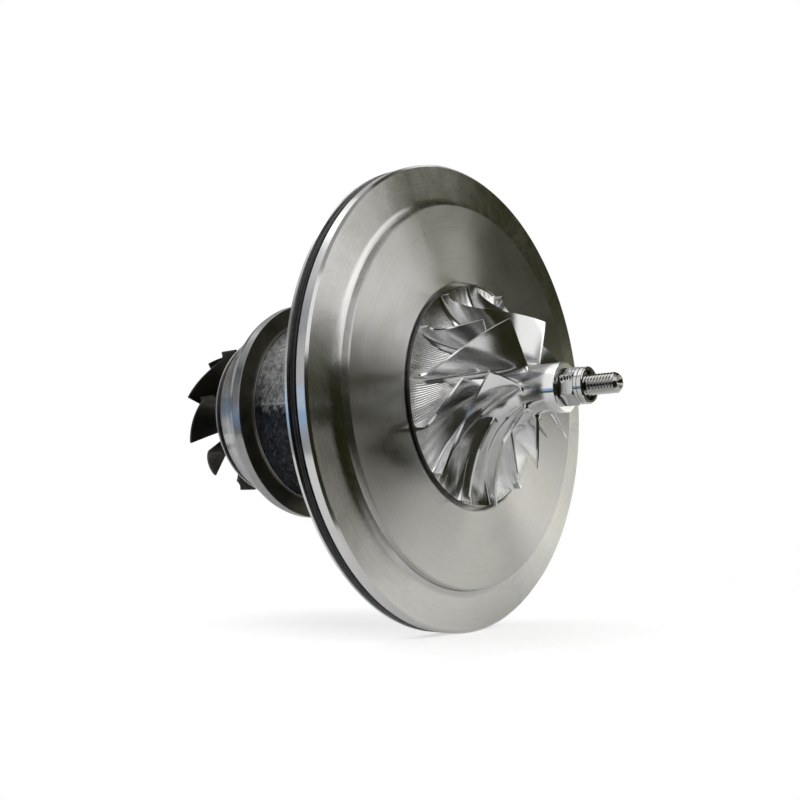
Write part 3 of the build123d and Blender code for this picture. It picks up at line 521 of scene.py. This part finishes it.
def rim_seal():
    """Round cord in the rim's groove, with its two flash lines."""
    outline = []
    for step in range(CORD_STEPS):
        turn = 360.0 * step / CORD_STEPS
        radius = CORD_RADIUS + FLASH_HEIGHT * on_flash(turn)
        across = radius * math.cos(math.radians(turn))
        outline.append((SEAL_STATION + across, SEAL_RADIUS + radius * math.sin(math.radians(turn))))
    ring = lathe("rim_seal", outline, 384, sharp_angle=60)
    dress(ring, "black_rubber", "cartridge", ["backplate_rim_seal"])
    paint(ring, ["flash_line_highlight"], seal_highlight_slot)


# Compressor wheel
WHEEL_RADIUS = 45.4
NOSE_RADIUS = 9.9
NOSE_END = 46.8
NOSE_BACK = 36.0
WHEEL_BORE = 4.02
HUB_TOP = 33.5
HUB_DEPTH = 27.8
HUB_REACH = WHEEL_RADIUS - NOSE_RADIUS
HUB_ROWS = 56
SHROUD_TOP = 32.1
SHROUD_DEPTH = 22.15
INDUCER_RADIUS = 30.9
BLADES = 7
FIRST_BLADE = 21.2
SPLITTER_START = 0.32
WRAP = 55.9
WRAP_POWER = 1.95
LEAN = 2.4
BLADE_STEPS = 64
BLADE_HEIGHTS = [0.0, 0.03, 0.07, 0.12, 0.2, 0.3, 0.42, 0.54, 0.66, 0.78, 0.88, 0.95, 0.985, 1.0]
BLADE_FILLET = 1.7
BLADE_SUNK = 0.5
BLADE_NOSE = 1.1
BLADE_EDGE = 0.14
ROOT_THICKNESS = 2.0
ROOT_THINNING = 0.9
TIP_THICKNESS = 0.86
LANES_PER_BLADE = 40
LANE_STEPS = 6
LANE_WIDTH = 1.1
CUSP_HEIGHT = 0.12
CUSPS_START = 0.62
CUSPS_FADE = 0.22


def hub_line(share):
    """Station and radius of the hub's face at a share of the way from the nose to the rim."""
    turn = share * math.pi / 2
    return HUB_TOP - HUB_DEPTH * math.sin(turn), WHEEL_RADIUS - HUB_REACH * math.cos(turn)


def shroud_line(share):
    """Station and radius of the blades' tips at a share of the way along the wheel."""
    turn = share * math.pi / 2
    reach = WHEEL_RADIUS - INDUCER_RADIUS
    return SHROUD_TOP - SHROUD_DEPTH * math.sin(turn), WHEEL_RADIUS - reach * math.cos(turn)


def wrap(share):
    """How far a blade has turned back at a share of the way, carried on straight before its start."""
    if share < 0:
        return share * WRAP * WRAP_POWER
    return WRAP * (1 - (1 - share) ** WRAP_POWER)


def wheel_hub():
    """The hub's turned shape, with the cusps that the milling tool left between the blades near the rim."""
    columns = BLADES * LANES_PER_BLADE * LANE_STEPS
    nose = [(NOSE_END, WHEEL_BORE, 0.0), (NOSE_END, 9.55, 0.0), (46.62, 9.83, 0.0)]
    nose += [(46.35, NOSE_RADIUS, 0.0), (40.0, NOSE_RADIUS, 0.0)]
    face = [(*hub_line(row / HUB_ROWS), row / HUB_ROWS) for row in range(HUB_ROWS + 1)]
    rim = [(5.55, WHEEL_RADIUS, 1.0), (4.3, WHEEL_RADIUS, 1.0), (4.2, 45.3, 1.0)]
    back = [(1.45, 28.15, 0.2), (-3.4, 15.5, 0.1), (-4.0, 13.5, 0.0), (-4.0, WHEEL_BORE, 0.0)]
    profile = nose + face + rim + back
    points, faces, uv = [], [], []
    for row, (station, radius, share) in enumerate(profile):
        on_face = len(nose) <= row < len(nose) + len(face)
        fade = max(0.0, min(1.0, (share - CUSPS_START) / CUSPS_FADE)) if on_face else 0.0
        lift = math.pi / 2 * share
        out = Vector((HUB_REACH * math.sin(lift), HUB_DEPTH * math.cos(lift))).normalized()
        for column in range(columns):
            lane = column / LANE_STEPS
            height = CUSP_HEIGHT * (0.8 + 0.4 * math.sin(lane * 0.7) ** 2)
            cusp = (2 * (lane % 1.0) - 1) ** 2 * fade * height
            angle = 360.0 * column / columns - wrap(share)
            points.append(turn_point(station + out.x * cusp, radius + out.y * cusp, angle))
            uv.append((lane * 0.5, share))
    for row in range(len(profile)):
        after = (row + 1) % len(profile)
        faces += band_faces(row * columns, after * columns, columns)
    return points, faces, uv


def blade_line(share, angle):
    """Root and tip of a blade at a share of the way along the wheel."""
    turned = angle - wrap(share)
    root = Vector(turn_point(*hub_line(share), turned - LEAN * (1 - share)))
    tip = Vector(turn_point(*shroud_line(share), turned))
    return root, tip


def blade_sections(first_share, angle):
    """Sections of one blade, rounded at its leading edge, with a fillet where it stands on the hub."""
    leading_tip = blade_line(first_share, angle)[1]
    sections = []
    for step in range(BLADE_STEPS + 1):
        share = first_share + (1 - first_share) * (step / BLADE_STEPS) ** 1.25
        root, tip = blade_line(share, angle)
        root_before, tip_before = blade_line(share - 0.01, angle)
        height = (tip - root).length
        travelled = (tip - leading_tip).length
        rounding = min(1.0, travelled / BLADE_NOSE)
        rounding = BLADE_EDGE + (1 - BLADE_EDGE) * math.sqrt(1 - (1 - rounding) ** 2)
        section = []
        for part in BLADE_HEIGHTS:
            middle = root.lerp(tip, part)
            if part == 0:
                middle = root + (root - tip).normalized() * BLADE_SUNK
            along = (root - root_before).lerp(tip - tip_before, part)
            normal = (tip - root).cross(along).normalized()
            thick = (ROOT_THICKNESS - ROOT_THINNING * share) * (1 - part) + TIP_THICKNESS * part
            flare = fillet_flare(part * height, BLADE_FILLET) * min(1.0, travelled / 1.6 + 0.25)
            place = (part * height / LANE_WIDTH + 0.37, share * 0.55)
            section.append((middle, normal, thick / 2 * rounding + flare, place))
        sections.append(section)
    return sections


def compressor_wheel():
    points, faces, uv = wheel_hub()
    hub = make_object("compressor_wheel_hub", points, faces, 25.0, uv)
    dress(hub, "milled_aluminium", "rotor", ["compressor_wheel"])
    paint(hub, ["wheel_nose"], lambda station, radius: int(station > NOSE_BACK))
    parts = []
    for index in range(BLADES):
        angle = FIRST_BLADE + 360.0 * index / BLADES
        parts.append(blade_skin(blade_sections(0.0, angle)))
        parts.append(blade_skin(blade_sections(SPLITTER_START, angle + 180.0 / BLADES)))
    points, faces, uv = join_parts(parts)
    blades = make_object("compressor_wheel_blades", points, faces, 32.0, uv)
    dress(blades, "milled_blade", "rotor", ["compressor_wheel"])


# Shaft nut. Each balancing pit is given by its station, angle, radius and depth.
NUT_HALF_FLATS = 6.5
NUT_COLLAR = 7.15
NUT_BORE = 4.05
NUT_SEGMENTS = 360
BALANCING_PITS = [(49.2, 288.0, 1.15, 0.5), (51.5, 290.5, 1.05, 0.45)]
BALANCING_PITS += [(52.0, 322.0, 1.3, 0.4), (50.6, 327.0, 0.9, 0.35)]


def nut_reach(station, radius, angle, hexagonal):
    """The nut's radius at an angle, cut by its flats and by the pits that balance the rotor."""
    reach = radius
    if hexagonal:
        reach = min(radius, NUT_HALF_FLATS / math.cos(math.radians(angle % 60.0 - 30.0)))
    for pit_station, pit_angle, pit_radius, depth in BALANCING_PITS:
        across = math.radians(angle - pit_angle) * NUT_HALF_FLATS
        distance = math.hypot(station - pit_station, across) / pit_radius
        if distance < 1:
            reach -= depth * (1 - distance**2)
    return reach


def nut_shade_slot(station, radius):
    """1 for the recess and the seat against the nose, darkened as painted shade, and 0 for the bright rest.
    """
    return int(station > 55.0 and radius < 6.6 or station < 47.3 and radius < 7.38)


def shaft_nut():
    """Hexagon, grooved collar and seat."""
    seat = [(46.8, 7.0), (46.8, 7.35), (46.9, 7.4), (47.15, 7.4), (47.2, 6.75)]
    hexagon = [(47.3, 6.9), (47.45, 7.2)]
    hexagon += [(47.75 + 0.25 * step, 7.45) for step in range(20)]
    hexagon += [(52.8, 7.25), (52.95, 6.85)]
    collar = [(52.97, 6.05), (53.45, 6.05), (53.5, 7.05), (53.62, NUT_COLLAR), (54.75, NUT_COLLAR)]
    collar += [(54.85, 6.82), (55.15, 6.82), (55.25, NUT_COLLAR), (56.7, NUT_COLLAR), (56.95, 7.02)]
    recess = [(57.1, 6.7), (57.1, 5.9), (56.9, 5.75), (55.5, 5.2), (55.3, NUT_BORE), (46.8, NUT_BORE)]
    outline = seat + hexagon + collar + recess
    points, faces = [], []
    for row, (station, radius) in enumerate(outline):
        hexagonal = len(seat) <= row < len(seat) + len(hexagon)
        for index in range(NUT_SEGMENTS):
            angle = 360.0 * index / NUT_SEGMENTS
            points.append(turn_point(station, nut_reach(station, radius, angle, hexagonal), angle))
    for row in range(len(outline)):
        after = (row + 1) % len(outline)
        faces += band_faces(row * NUT_SEGMENTS, after * NUT_SEGMENTS, NUT_SEGMENTS)
    nut = make_object("shaft_nut_body", points, faces, 24.0)
    dress(nut, "bright_steel", "rotor", ["shaft_nut"])
    # The black material on the recess and the seat is painted shade.
    paint(nut, ["black_oxide"], nut_shade_slot)


# Shaft
SHAFT_FRONT = 69.4
SHAFT_BACK = -109.9
THREAD_BACK = 45.0
THREAD_PITCH = 1.25
THREAD_STEP = THREAD_PITCH / 10
THREAD_CREST = 4.0
THREAD_VALLEY = 3.32
CHAMFER_RADIUS = 2.75
JOURNAL_RADIUS = 6.5
HEAD_RADIUS = 10.0
SHAFT_SEGMENTS = 72


def thread_radius(station, angle):
    """The helical thread's radius, under the chamfer at the shaft's front end."""
    wave = abs(2 * ((station / THREAD_PITCH - angle / 360.0) % 1.0) - 1)
    flank = min(1.0, max(0.0, (wave - 0.1) / 0.78))
    radius = THREAD_VALLEY + (THREAD_CREST - THREAD_VALLEY) * flank
    return min(radius, CHAMFER_RADIUS + SHAFT_FRONT - station)


def shaft():
    """The whole shaft, with a helical thread on its front end and a centre drilling."""
    drilling = [(66.6, 0.7), (67.5, 0.8), (69.1, 2.0), (SHAFT_FRONT, 2.2), (SHAFT_FRONT, CHAMFER_RADIUS)]
    neck = [(THREAD_BACK, THREAD_CREST), (-36.25, THREAD_CREST), (-36.25, 6.1), (-36.65, JOURNAL_RADIUS)]
    waist = [(-48.85, JOURNAL_RADIUS), (-49.45, 6.0), (-76.4, 6.0), (-77.0, JOURNAL_RADIUS)]
    head = [(-96.8, JOURNAL_RADIUS), (-97.4, 9.4), (-98.0, HEAD_RADIUS), (SHAFT_BACK, HEAD_RADIUS)]
    angles = [360.0 * index / SHAFT_SEGMENTS for index in range(SHAFT_SEGMENTS)]
    turns = math.ceil((SHAFT_FRONT - THREAD_BACK) / THREAD_STEP)
    thread = [SHAFT_FRONT - THREAD_STEP * step for step in range(turns)] + [THREAD_BACK]
    points, faces = [], []
    for station, radius in drilling:
        points += [turn_point(station, radius, angle) for angle in angles]
    for station in thread:
        points += [turn_point(station, thread_radius(station, angle), angle) for angle in angles]
    for station, radius in neck + waist + head + [(SHAFT_BACK, 0.05)]:
        points += [turn_point(station, radius, angle) for angle in angles]
    last = len(points) - SHAFT_SEGMENTS
    for start in range(0, last, SHAFT_SEGMENTS):
        faces += band_faces(start, start + SHAFT_SEGMENTS, SHAFT_SEGMENTS)
    faces.append(list(range(SHAFT_SEGMENTS)))
    faces.append(list(range(last, last + SHAFT_SEGMENTS)))
    piece = make_object("shaft_with_thread", points, faces, 28.0)
    dress(piece, "ground_steel", "rotor", ["rotor_shaft"])


# Turbine wheel. Its blades stand straight out as far as the inducer's corner, and then turn to their exit.
DISC_FRONT = -113.9
DISC_RADIUS = 31.0
TURBINE_HUB_START = -116.1
TURBINE_EXIT = -141.45
TURBINE_HUB_END = 9.5
TURBINE_RADIUS = 38.4
INDUCER_CORNER = -123.7
EXIT_RADIUS = 31.8
EXIT_TURN = 34.3
EXIT_LEAN = 17.0
TURBINE_BLADES = 9
TURBINE_FIRST_BLADE = 358.1
TURBINE_STEPS = 40
TURBINE_HEIGHTS = [0.0, 0.08, 0.16, 0.25, 0.34, 0.44, 0.55, 0.66, 0.77, 0.87, 0.95, 1.0]
TURBINE_ROOT = 5.7
TURBINE_FILLET = 2.2
TURBINE_ROOT_THICKNESS = 3.0
TURBINE_TIP_THICKNESS = 1.05


def turbine_hub_line(share):
    """Station and radius of the hub at a share of the way from the disc to the blades' exit."""
    station = TURBINE_HUB_START + (TURBINE_EXIT - TURBINE_HUB_START) * share
    return station, DISC_RADIUS - (DISC_RADIUS - TURBINE_HUB_END) * math.sin(share * math.pi / 2) ** 0.55


def turbine_tip(share):
    """Station, tip radius and turn of a blade from its inducer corner at 0 to its exit at 1."""
    station = INDUCER_CORNER + (TURBINE_EXIT - INDUCER_CORNER) * share
    radius = TURBINE_RADIUS - (TURBINE_RADIUS - EXIT_RADIUS) * math.sqrt(1 - (1 - share) ** 2)
    return station, radius, EXIT_TURN * share**2.16


def turbine_sections(angle):
    """Sections of one turbine blade, with a fillet where it leaves the hub."""
    lines = [(station, TURBINE_RADIUS, 0.0, 0.0) for station in (-113.95, -117.0, -120.4)]
    for step in range(TURBINE_STEPS + 1):
        share = (step / TURBINE_STEPS) ** 1.5
        lines.append((*turbine_tip(share), share))
    roots, tips = [], []
    for station, radius, turn, share in lines:
        roots.append(Vector(turn_point(station, TURBINE_ROOT, angle - turn - EXIT_LEAN * share)))
        tips.append(Vector(turn_point(station, radius, angle - turn)))
    sections = []
    for number, (station, _, _, share) in enumerate(lines):
        root, tip = roots[number], tips[number]
        before = min(number, len(lines) - 2)
        root_step = roots[before + 1] - roots[before]
        tip_step = tips[before + 1] - tips[before]
        hub_share = (station - TURBINE_HUB_START) / (TURBINE_EXIT - TURBINE_HUB_START)
        hub_radius = turbine_hub_line(max(0.0, hub_share))[1]
        section = []
        for part in TURBINE_HEIGHTS:
            middle = root.lerp(tip, part)
            along = root_step.lerp(tip_step, part) if share > 0 else Vector((-1, 0, 0))
            normal = (tip - root).cross(along).normalized()
            thick = TURBINE_ROOT_THICKNESS * (1 - part) + TURBINE_TIP_THICKNESS * part
            flare = fillet_flare(math.hypot(middle.y, middle.z) - hub_radius, TURBINE_FILLET)
            section.append((middle, normal, thick / 2 + flare, (0.0, 0.0)))
        sections.append(section)
    return sections


def turbine_wheel():
    outline = [(SHAFT_BACK, 0.0), (SHAFT_BACK, HEAD_RADIUS), (-113.3, HEAD_RADIUS)]
    outline += [(DISC_FRONT, 10.6), (DISC_FRONT, DISC_RADIUS)]
    outline += [turbine_hub_line(index / 30) for index in range(31)]
    outline += [(-142.65, 7.6), (-146.25, 7.6), (-147.45, 6.4), (-147.45, 0.0)]
    hub = lathe("turbine_wheel_hub", outline, 180, sharp_angle=28)
    dress(hub, "dark_nickel_alloy", "rotor", ["turbine_wheel"])
    spacing = 360.0 / TURBINE_BLADES
    angles = [TURBINE_FIRST_BLADE + spacing * index for index in range(TURBINE_BLADES)]
    points, faces, _ = join_parts([blade_skin(turbine_sections(angle)) for angle in angles])
    blades = make_object("turbine_wheel_blades", points, faces, 30.0)
    dress(blades, "dark_nickel_alloy", "rotor", ["turbine_wheel"])


# Heat shield
def heat_shield():
    front = [(-111.3, 11.2), (-111.3, 34.5), (-111.5, 35.3), (-111.7, 36.2), (-111.7, 37.9)]
    lip = [(-111.8, 38.2), (-112.0, 38.3), (-112.4, 38.3), (-112.6, 38.15), (-112.7, 37.8)]
    shield = lathe("heat_shield_disc", front + lip + [(-112.7, 11.2)], 256, sharp_angle=25)
    dress(shield, "pressed_steel", "cartridge", ["heat_shield"])


# Housing
def flange_finish(station, radius):
    """1 for the face darkened as painted shade, 2 for the bright lip, edge and cone, and 0 for the cast
    neck.
    """
    on_lip = 41.3 < radius < 42.25
    if radius > 41.2 and station > -84.1 and not on_lip:
        return 1
    return 2 if radius > 41.3 or station < -84.0 else 0


def turbine_flange():
    """The turbine end's flange: cast neck, bright lip, dark face, turned edge and turned cone."""
    neck = [(-80.51, 38.01), (-80.51, 39.0), (-81.6, 39.9), (-82.5, 40.9), (-82.85, 41.3)]
    lip = [(-82.7, 41.45), (-82.7, 42.0), (-82.85, 42.2)]
    face = [(-83.75, 42.7), (-84.0, 43.4), (-84.0, 48.4), (-83.85, 49.2), (-83.85, 49.5)]
    edge = [(-84.0, 49.8), (-84.25, 49.9), (-87.95, 49.9), (-88.05, 49.72), (-88.3, 49.72)]
    edge += [(-88.4, 49.8), (-90.8, 49.05)]
    cone = [(-91.1, 48.8), (-94.2, 47.1), (-94.3, 46.9), (-107.1, 40.05), (-107.3, 39.9), (-107.4, 39.6)]
    bore = [(-107.4, 34.61), (-83.01, 34.61), (-83.01, 38.01)]
    outline = neck + lip + face + edge + cone + bore
    flange = lathe("housing_turbine_flange_body", outline, 384, sharp_angle=20)
    dress(flange, "cast_iron_housing", "cartridge", ["housing_turbine_flange"])
    paint(flange, ["housing_dark", "housing_turned"], flange_finish)


# Barrel skin
SKIN_FRONT = -33.9
SKIN_BACK = -80.9
SKIN_ROWS = 210
SKIN_COLUMNS = 1040
SKIN_INNER = 34.0
WAIST_RADIUS = 35.5
WAIST_FRONT = -46.0
WAIST_BACK = -68.5
WAIST_RISE = 3.5
WAIST_RUN = 12.0
SEAM_HEIGHT = -0.9
STROKE_COUNT = 15000
STROKE_RADIUS = 37.0
STROKE_WIDTH = 0.17
STROKE_HEIGHT = 0.22


def brush_strokes():
    """Heights from 0 to 1 of short raised strokes on the barrel's grid, thickest at the seam."""
    random = np.random.default_rng(21)
    row_step = (SKIN_FRONT - SKIN_BACK) / SKIN_ROWS
    column_step = 2 * math.pi * STROKE_RADIUS / SKIN_COLUMNS
    heights = np.zeros((SKIN_ROWS + 1, SKIN_COLUMNS))
    station = random.random(STROKE_COUNT) * SKIN_ROWS * row_step
    around = random.random(STROKE_COUNT) * SKIN_COLUMNS * column_step
    level = STROKE_RADIUS * np.cos(around / STROKE_RADIUS) - SEAM_HEIGHT
    upper = level > -3.5
    kept = random.random(STROKE_COUNT) < np.where(upper, 0.35 + 0.65 * np.exp(-np.abs(level) / 9.0), 0.16)
    main = random.random(STROKE_COUNT) < 0.7
    lean = np.radians(np.where(main, 55.0, 118.0) + random.normal(0.0, 14.0, STROKE_COUNT))
    lean = np.where(around > math.pi * STROKE_RADIUS, lean, -lean)
    length = 1.0 + 2.2 * random.random(STROKE_COUNT)
    strength = (0.35 + 0.65 * random.random(STROKE_COUNT)) * np.where(upper, 1.0, 0.45)
    for part in np.linspace(-0.5, 0.5, 26):
        x = station - part * length * np.cos(lean)
        y = around + part * length * np.sin(lean) + 0.35 * np.sin(part * 3.0)
        taper = strength * (1 - (2 * part) ** 2) ** 0.5
        for row_shift in (0, 1):
            for column_shift in (0, 1):
                row = np.floor(x / row_step).astype(int) + row_shift
                column = np.floor(y / column_step).astype(int) + column_shift
                off = np.hypot(x - row * row_step, y - column * column_step)
                height = taper * np.exp(-((off / STROKE_WIDTH) ** 2))
                good = kept & (row >= 0) & (row <= SKIN_ROWS)
                np.maximum.at(heights, (row[good], column[good] % SKIN_COLUMNS), height[good])
    return heights.ravel()


def barrel_skin():
    """The barrel's rough cast skin, as a mesh with real grain and the ridge of its parting line."""
    stations = np.repeat(np.linspace(SKIN_FRONT, SKIN_BACK, SKIN_ROWS + 1), SKIN_COLUMNS)
    turns = np.tile(np.arange(SKIN_COLUMNS) * 2 * math.pi / SKIN_COLUMNS, SKIN_ROWS + 1)
    past_waist = np.maximum(0.0, np.maximum(stations - WAIST_FRONT, WAIST_BACK - stations))
    radii = WAIST_RADIUS + WAIST_RISE * (past_waist / WAIST_RUN) ** 1.3
    bare = np.stack([stations, radii * np.sin(turns), radii * np.cos(turns)], axis=1)
    lumps = lattice_noise(bare, 3.1, 11) * 0.16 + lattice_noise(bare, 1.1, 12) * 0.12
    grain = lattice_noise(bare, 0.45, 18) * 0.10
    stroke = brush_strokes()
    wander = (lattice_noise(bare, 2.2, 15) - 0.5) * 0.7
    ridge = np.exp(-(((bare[:, 2] - SEAM_HEIGHT + wander) / 0.36) ** 2))
    seam = ridge * (0.2 + 0.5 * lattice_noise(bare, 0.9, 16))
    grown = radii + 0.08 + lumps + grain + stroke * STROKE_HEIGHT + seam
    points = np.stack([stations, grown * np.sin(turns), grown * np.cos(turns)], axis=1).tolist()
    angles = [360.0 * column / SKIN_COLUMNS for column in range(SKIN_COLUMNS)]
    for station in (SKIN_FRONT, SKIN_BACK):
        points += [turn_point(station, SKIN_INNER, angle) for angle in angles]
    last = SKIN_ROWS * SKIN_COLUMNS
    inner_front = last + SKIN_COLUMNS
    inner_back = inner_front + SKIN_COLUMNS
    faces = []
    for start in range(0, last, SKIN_COLUMNS):
        faces += band_faces(start, start + SKIN_COLUMNS, SKIN_COLUMNS)
    faces += band_faces(inner_front, 0, SKIN_COLUMNS)
    faces += band_faces(last, inner_back, SKIN_COLUMNS)
    faces += band_faces(inner_back, inner_front, SKIN_COLUMNS)
    skin = make_object("barrel_cast_skin", points, faces, 70.0)
    worn = np.zeros(len(skin.data.vertices), np.float32)
    worn[: len(stroke)] = np.clip(stroke * 0.9 + seam * 0.8 - 0.12, 0.0, 1.0)
    skin.data.attributes.new("worn", "FLOAT", "POINT").data.foreach_set("value", worn)
    dress(skin, "cast_iron_housing", "cartridge")


# Build
backplate()
rim_seal()
compressor_wheel()
shaft_nut()
shaft()
turbine_wheel()
heat_shield()
turbine_flange()
barrel_skin()

slot_of = {part["node"]: part["material_slot"] for part in frame["record"]["subparts"]}
for name, node in frame["nodes"].items():
    node.data.materials.clear()
    node.data.materials.append(MATERIALS[slot_of[name]])


# Studio, in metres
FLOOR_GLOW = {"Is Camera Ray": 0.6, "Is Glossy Ray": 0.15, "Is Transmission Ray": 0.15}


def plain_object(name, points, faces, material):
    mesh = bpy.data.meshes.new(name)
    mesh.from_pydata(points, [], faces)
    mesh.materials.append(material)
    obj = bpy.data.objects.new(name, mesh)
    bpy.context.scene.collection.objects.link(obj)
    return obj


def floor_material():
    """White paper. Its own glow whitens it for the camera and in reflections, and its shadow stays."""
    material = bpy.data.materials.new("floor_white")
    material.use_nodes = True
    tree = material.node_tree
    tree.nodes.clear()
    output = tree.nodes.new("ShaderNodeOutputMaterial")
    diffuse = tree.nodes.new("ShaderNodeBsdfDiffuse")
    diffuse.inputs["Color"].default_value = rgb(0.9, 0.9, 0.9)
    glow = tree.nodes.new("ShaderNodeEmission")
    glow.inputs["Color"].default_value = rgb(1, 1, 1)
    path = tree.nodes.new("ShaderNodeLightPath")
    strength = None
    for kind, level in FLOOR_GLOW.items():
        share = tree.nodes.new("ShaderNodeMath")
        share.operation = "MULTIPLY_ADD"
        tree.links.new(path.outputs[kind], share.inputs[0])
        share.inputs[1].default_value = level
        share.inputs[2].default_value = 0.0
        if strength:
            tree.links.new(strength, share.inputs[2])
        strength = share.outputs[0]
    tree.links.new(strength, glow.inputs["Strength"])
    both = tree.nodes.new("ShaderNodeAddShader")
    tree.links.new(diffuse.outputs[0], both.inputs[0])
    tree.links.new(glow.outputs[0], both.inputs[1])
    tree.links.new(both.outputs[0], output.inputs["Surface"])
    return material


FLOOR_HEIGHT = -0.0961
FLOOR_CORNERS = [(-0.5, -0.21), (0.02, -0.21), (0.05, -0.02), (0.2, 0.0), (0.2, 0.35), (-0.5, 0.35)]
floor_points = [(x, y, FLOOR_HEIGHT) for x, y in FLOOR_CORNERS]
floor = plain_object("floor", floor_points, [range(len(floor_points))], floor_material())

world = bpy.data.worlds.new("studio")
bpy.context.scene.world = world
world.use_nodes = True
world.node_tree.nodes["Background"].inputs["Color"].default_value = rgb(1, 1, 1)
world.node_tree.nodes["Background"].inputs["Strength"].default_value = 1.0

CARD_DISTANCE = 1.6
CARD_COLUMNS = 24
CARD_ROWS = 16


def card_material(name, color):
    material = bpy.data.materials.new(name)
    material.use_nodes = True
    tree = material.node_tree
    tree.nodes.clear()
    output = tree.nodes.new("ShaderNodeOutputMaterial")
    glow = tree.nodes.new("ShaderNodeEmission")
    glow.inputs["Color"].default_value = color
    tree.links.new(glow.outputs[0], output.inputs["Surface"])
    return material


def studio_card(name, around, height, color):
    """A curved card about the object, given by the angles from +X towards +Y and up that it spans."""
    points, faces = [], []
    for row in range(CARD_ROWS + 1):
        lift = math.radians(height[0] + (height[1] - height[0]) * row / CARD_ROWS)
        flat = CARD_DISTANCE * math.cos(lift)
        for column in range(CARD_COLUMNS + 1):
            side = math.radians(around[0] + (around[1] - around[0]) * column / CARD_COLUMNS)
            points.append((flat * math.cos(side), flat * math.sin(side), CARD_DISTANCE * math.sin(lift)))
    width = CARD_COLUMNS + 1
    for row in range(CARD_ROWS):
        faces += band_faces(row * width, (row + 1) * width, width, closed=False)
    card = plain_object(name, points, faces, card_material(name, color))
    card.visible_camera = False


# Before the plate stand dark cards, with a pale one up on the left and a bright one low on the right,
# as they are seen by someone who faces the plate.
DARK = rgb(0.016, 0.016, 0.006)
PANE_BLUE = rgb(0.29, 0.42, 0.62)
studio_card("card_low", (-90, 54), (-60, 13), DARK)
studio_card("card_far_left", (-90, -55), (12, 43), rgb(0.12, 0.12, 0.13))
studio_card("card_upper_left", (-55, 5), (13, 43), rgb(0.92, 0.92, 0.91))
studio_card("card_upper_right", (5, 90), (12, 43), rgb(0.028, 0.028, 0.008))
studio_card("card_top_left", (-90, 36), (43, 85), rgb(0.30, 0.30, 0.30))
studio_card("card_top_right", (36, 90), (43, 85), DARK)
studio_card("card_step", (54, 90), (7, 12), rgb(0.24, 0.23, 0.17))
studio_card("card_low_right", (54, 90), (-60, 7), rgb(1.25, 1.24, 1.15))
# To the camera's left stands a blue pane, with greys above and under it.
studio_card("card_blue", (190, 231), (-11, 3), PANE_BLUE)
studio_card("card_grey_above", (190, 231), (3, 20), rgb(0.27, 0.27, 0.28))
studio_card("card_grey_below", (190, 231), (-40, -11), rgb(0.33, 0.34, 0.35))
studio_card("card_high_behind", (190, 231), (20, 50), rgb(0.19, 0.20, 0.21))
# Nearer the camera on that side stand four bands, from white at the top to grey at the foot.
studio_card("card_side_white", (231, 270), (-6, 50), rgb(0.90, 0.90, 0.90))
studio_card("card_side_blue", (231, 270), (-16, -6), PANE_BLUE)
studio_card("card_side_dark", (231, 270), (-27, -16), rgb(0.05, 0.05, 0.055))
studio_card("card_side_grey", (231, 270), (-45, -27), rgb(0.42, 0.42, 0.43))
# On the far side stand a dark band with a blue one under it, and a grey card.
studio_card("card_behind_dark", (157, 173), (9, 40), rgb(0.06, 0.06, 0.06))
studio_card("card_behind_blue", (157, 190), (2, 9), rgb(0.26, 0.34, 0.46))
studio_card("card_behind", (90, 157), (-30, 50), rgb(0.42, 0.42, 0.43))

LAMP_DISTANCE = 1.2


def softbox(name, direction, size, power):
    """A rectangular lamp that faces the object from a direction."""
    data = bpy.data.lights.new(name, "AREA")
    data.shape = "RECTANGLE"
    data.size, data.size_y = size
    data.energy = power
    lamp = bpy.data.objects.new(name, data)
    bpy.context.scene.collection.objects.link(lamp)
    toward = Vector(direction).normalized()
    lamp.location = toward * LAMP_DISTANCE
    lamp.rotation_euler = toward.to_track_quat("Z", "Y").to_euler()


softbox("key", (0.79, 0.34, 0.51), (0.75, 0.6), 2.0)
softbox("overhead", (-0.6, -0.2, 0.74), (0.7, 0.9), 0.8)

# Camera, at the photograph's place and angle
CAMERA_PLACE = (0.2299, -0.3309, -0.0505)
CAMERA_RIGHT = (0.78034, 0.62535, 0.0)
CAMERA_AHEAD = (-0.62073, 0.77458, 0.12126)
camera_data = bpy.data.cameras.new("camera")
camera_data.sensor_width = 36.0
camera_data.lens = 43.875
camera = bpy.data.objects.new("camera", camera_data)
bpy.context.scene.collection.objects.link(camera)
right = Vector(CAMERA_RIGHT).normalized()
ahead = Vector(CAMERA_AHEAD).normalized()
view = Matrix((right, right.cross(ahead), -ahead)).transposed().to_4x4()
view.translation = Vector(CAMERA_PLACE)
camera.matrix_world = view
bpy.context.scene.camera = camera
bpy.context.scene.view_settings.view_transform = "Standard"
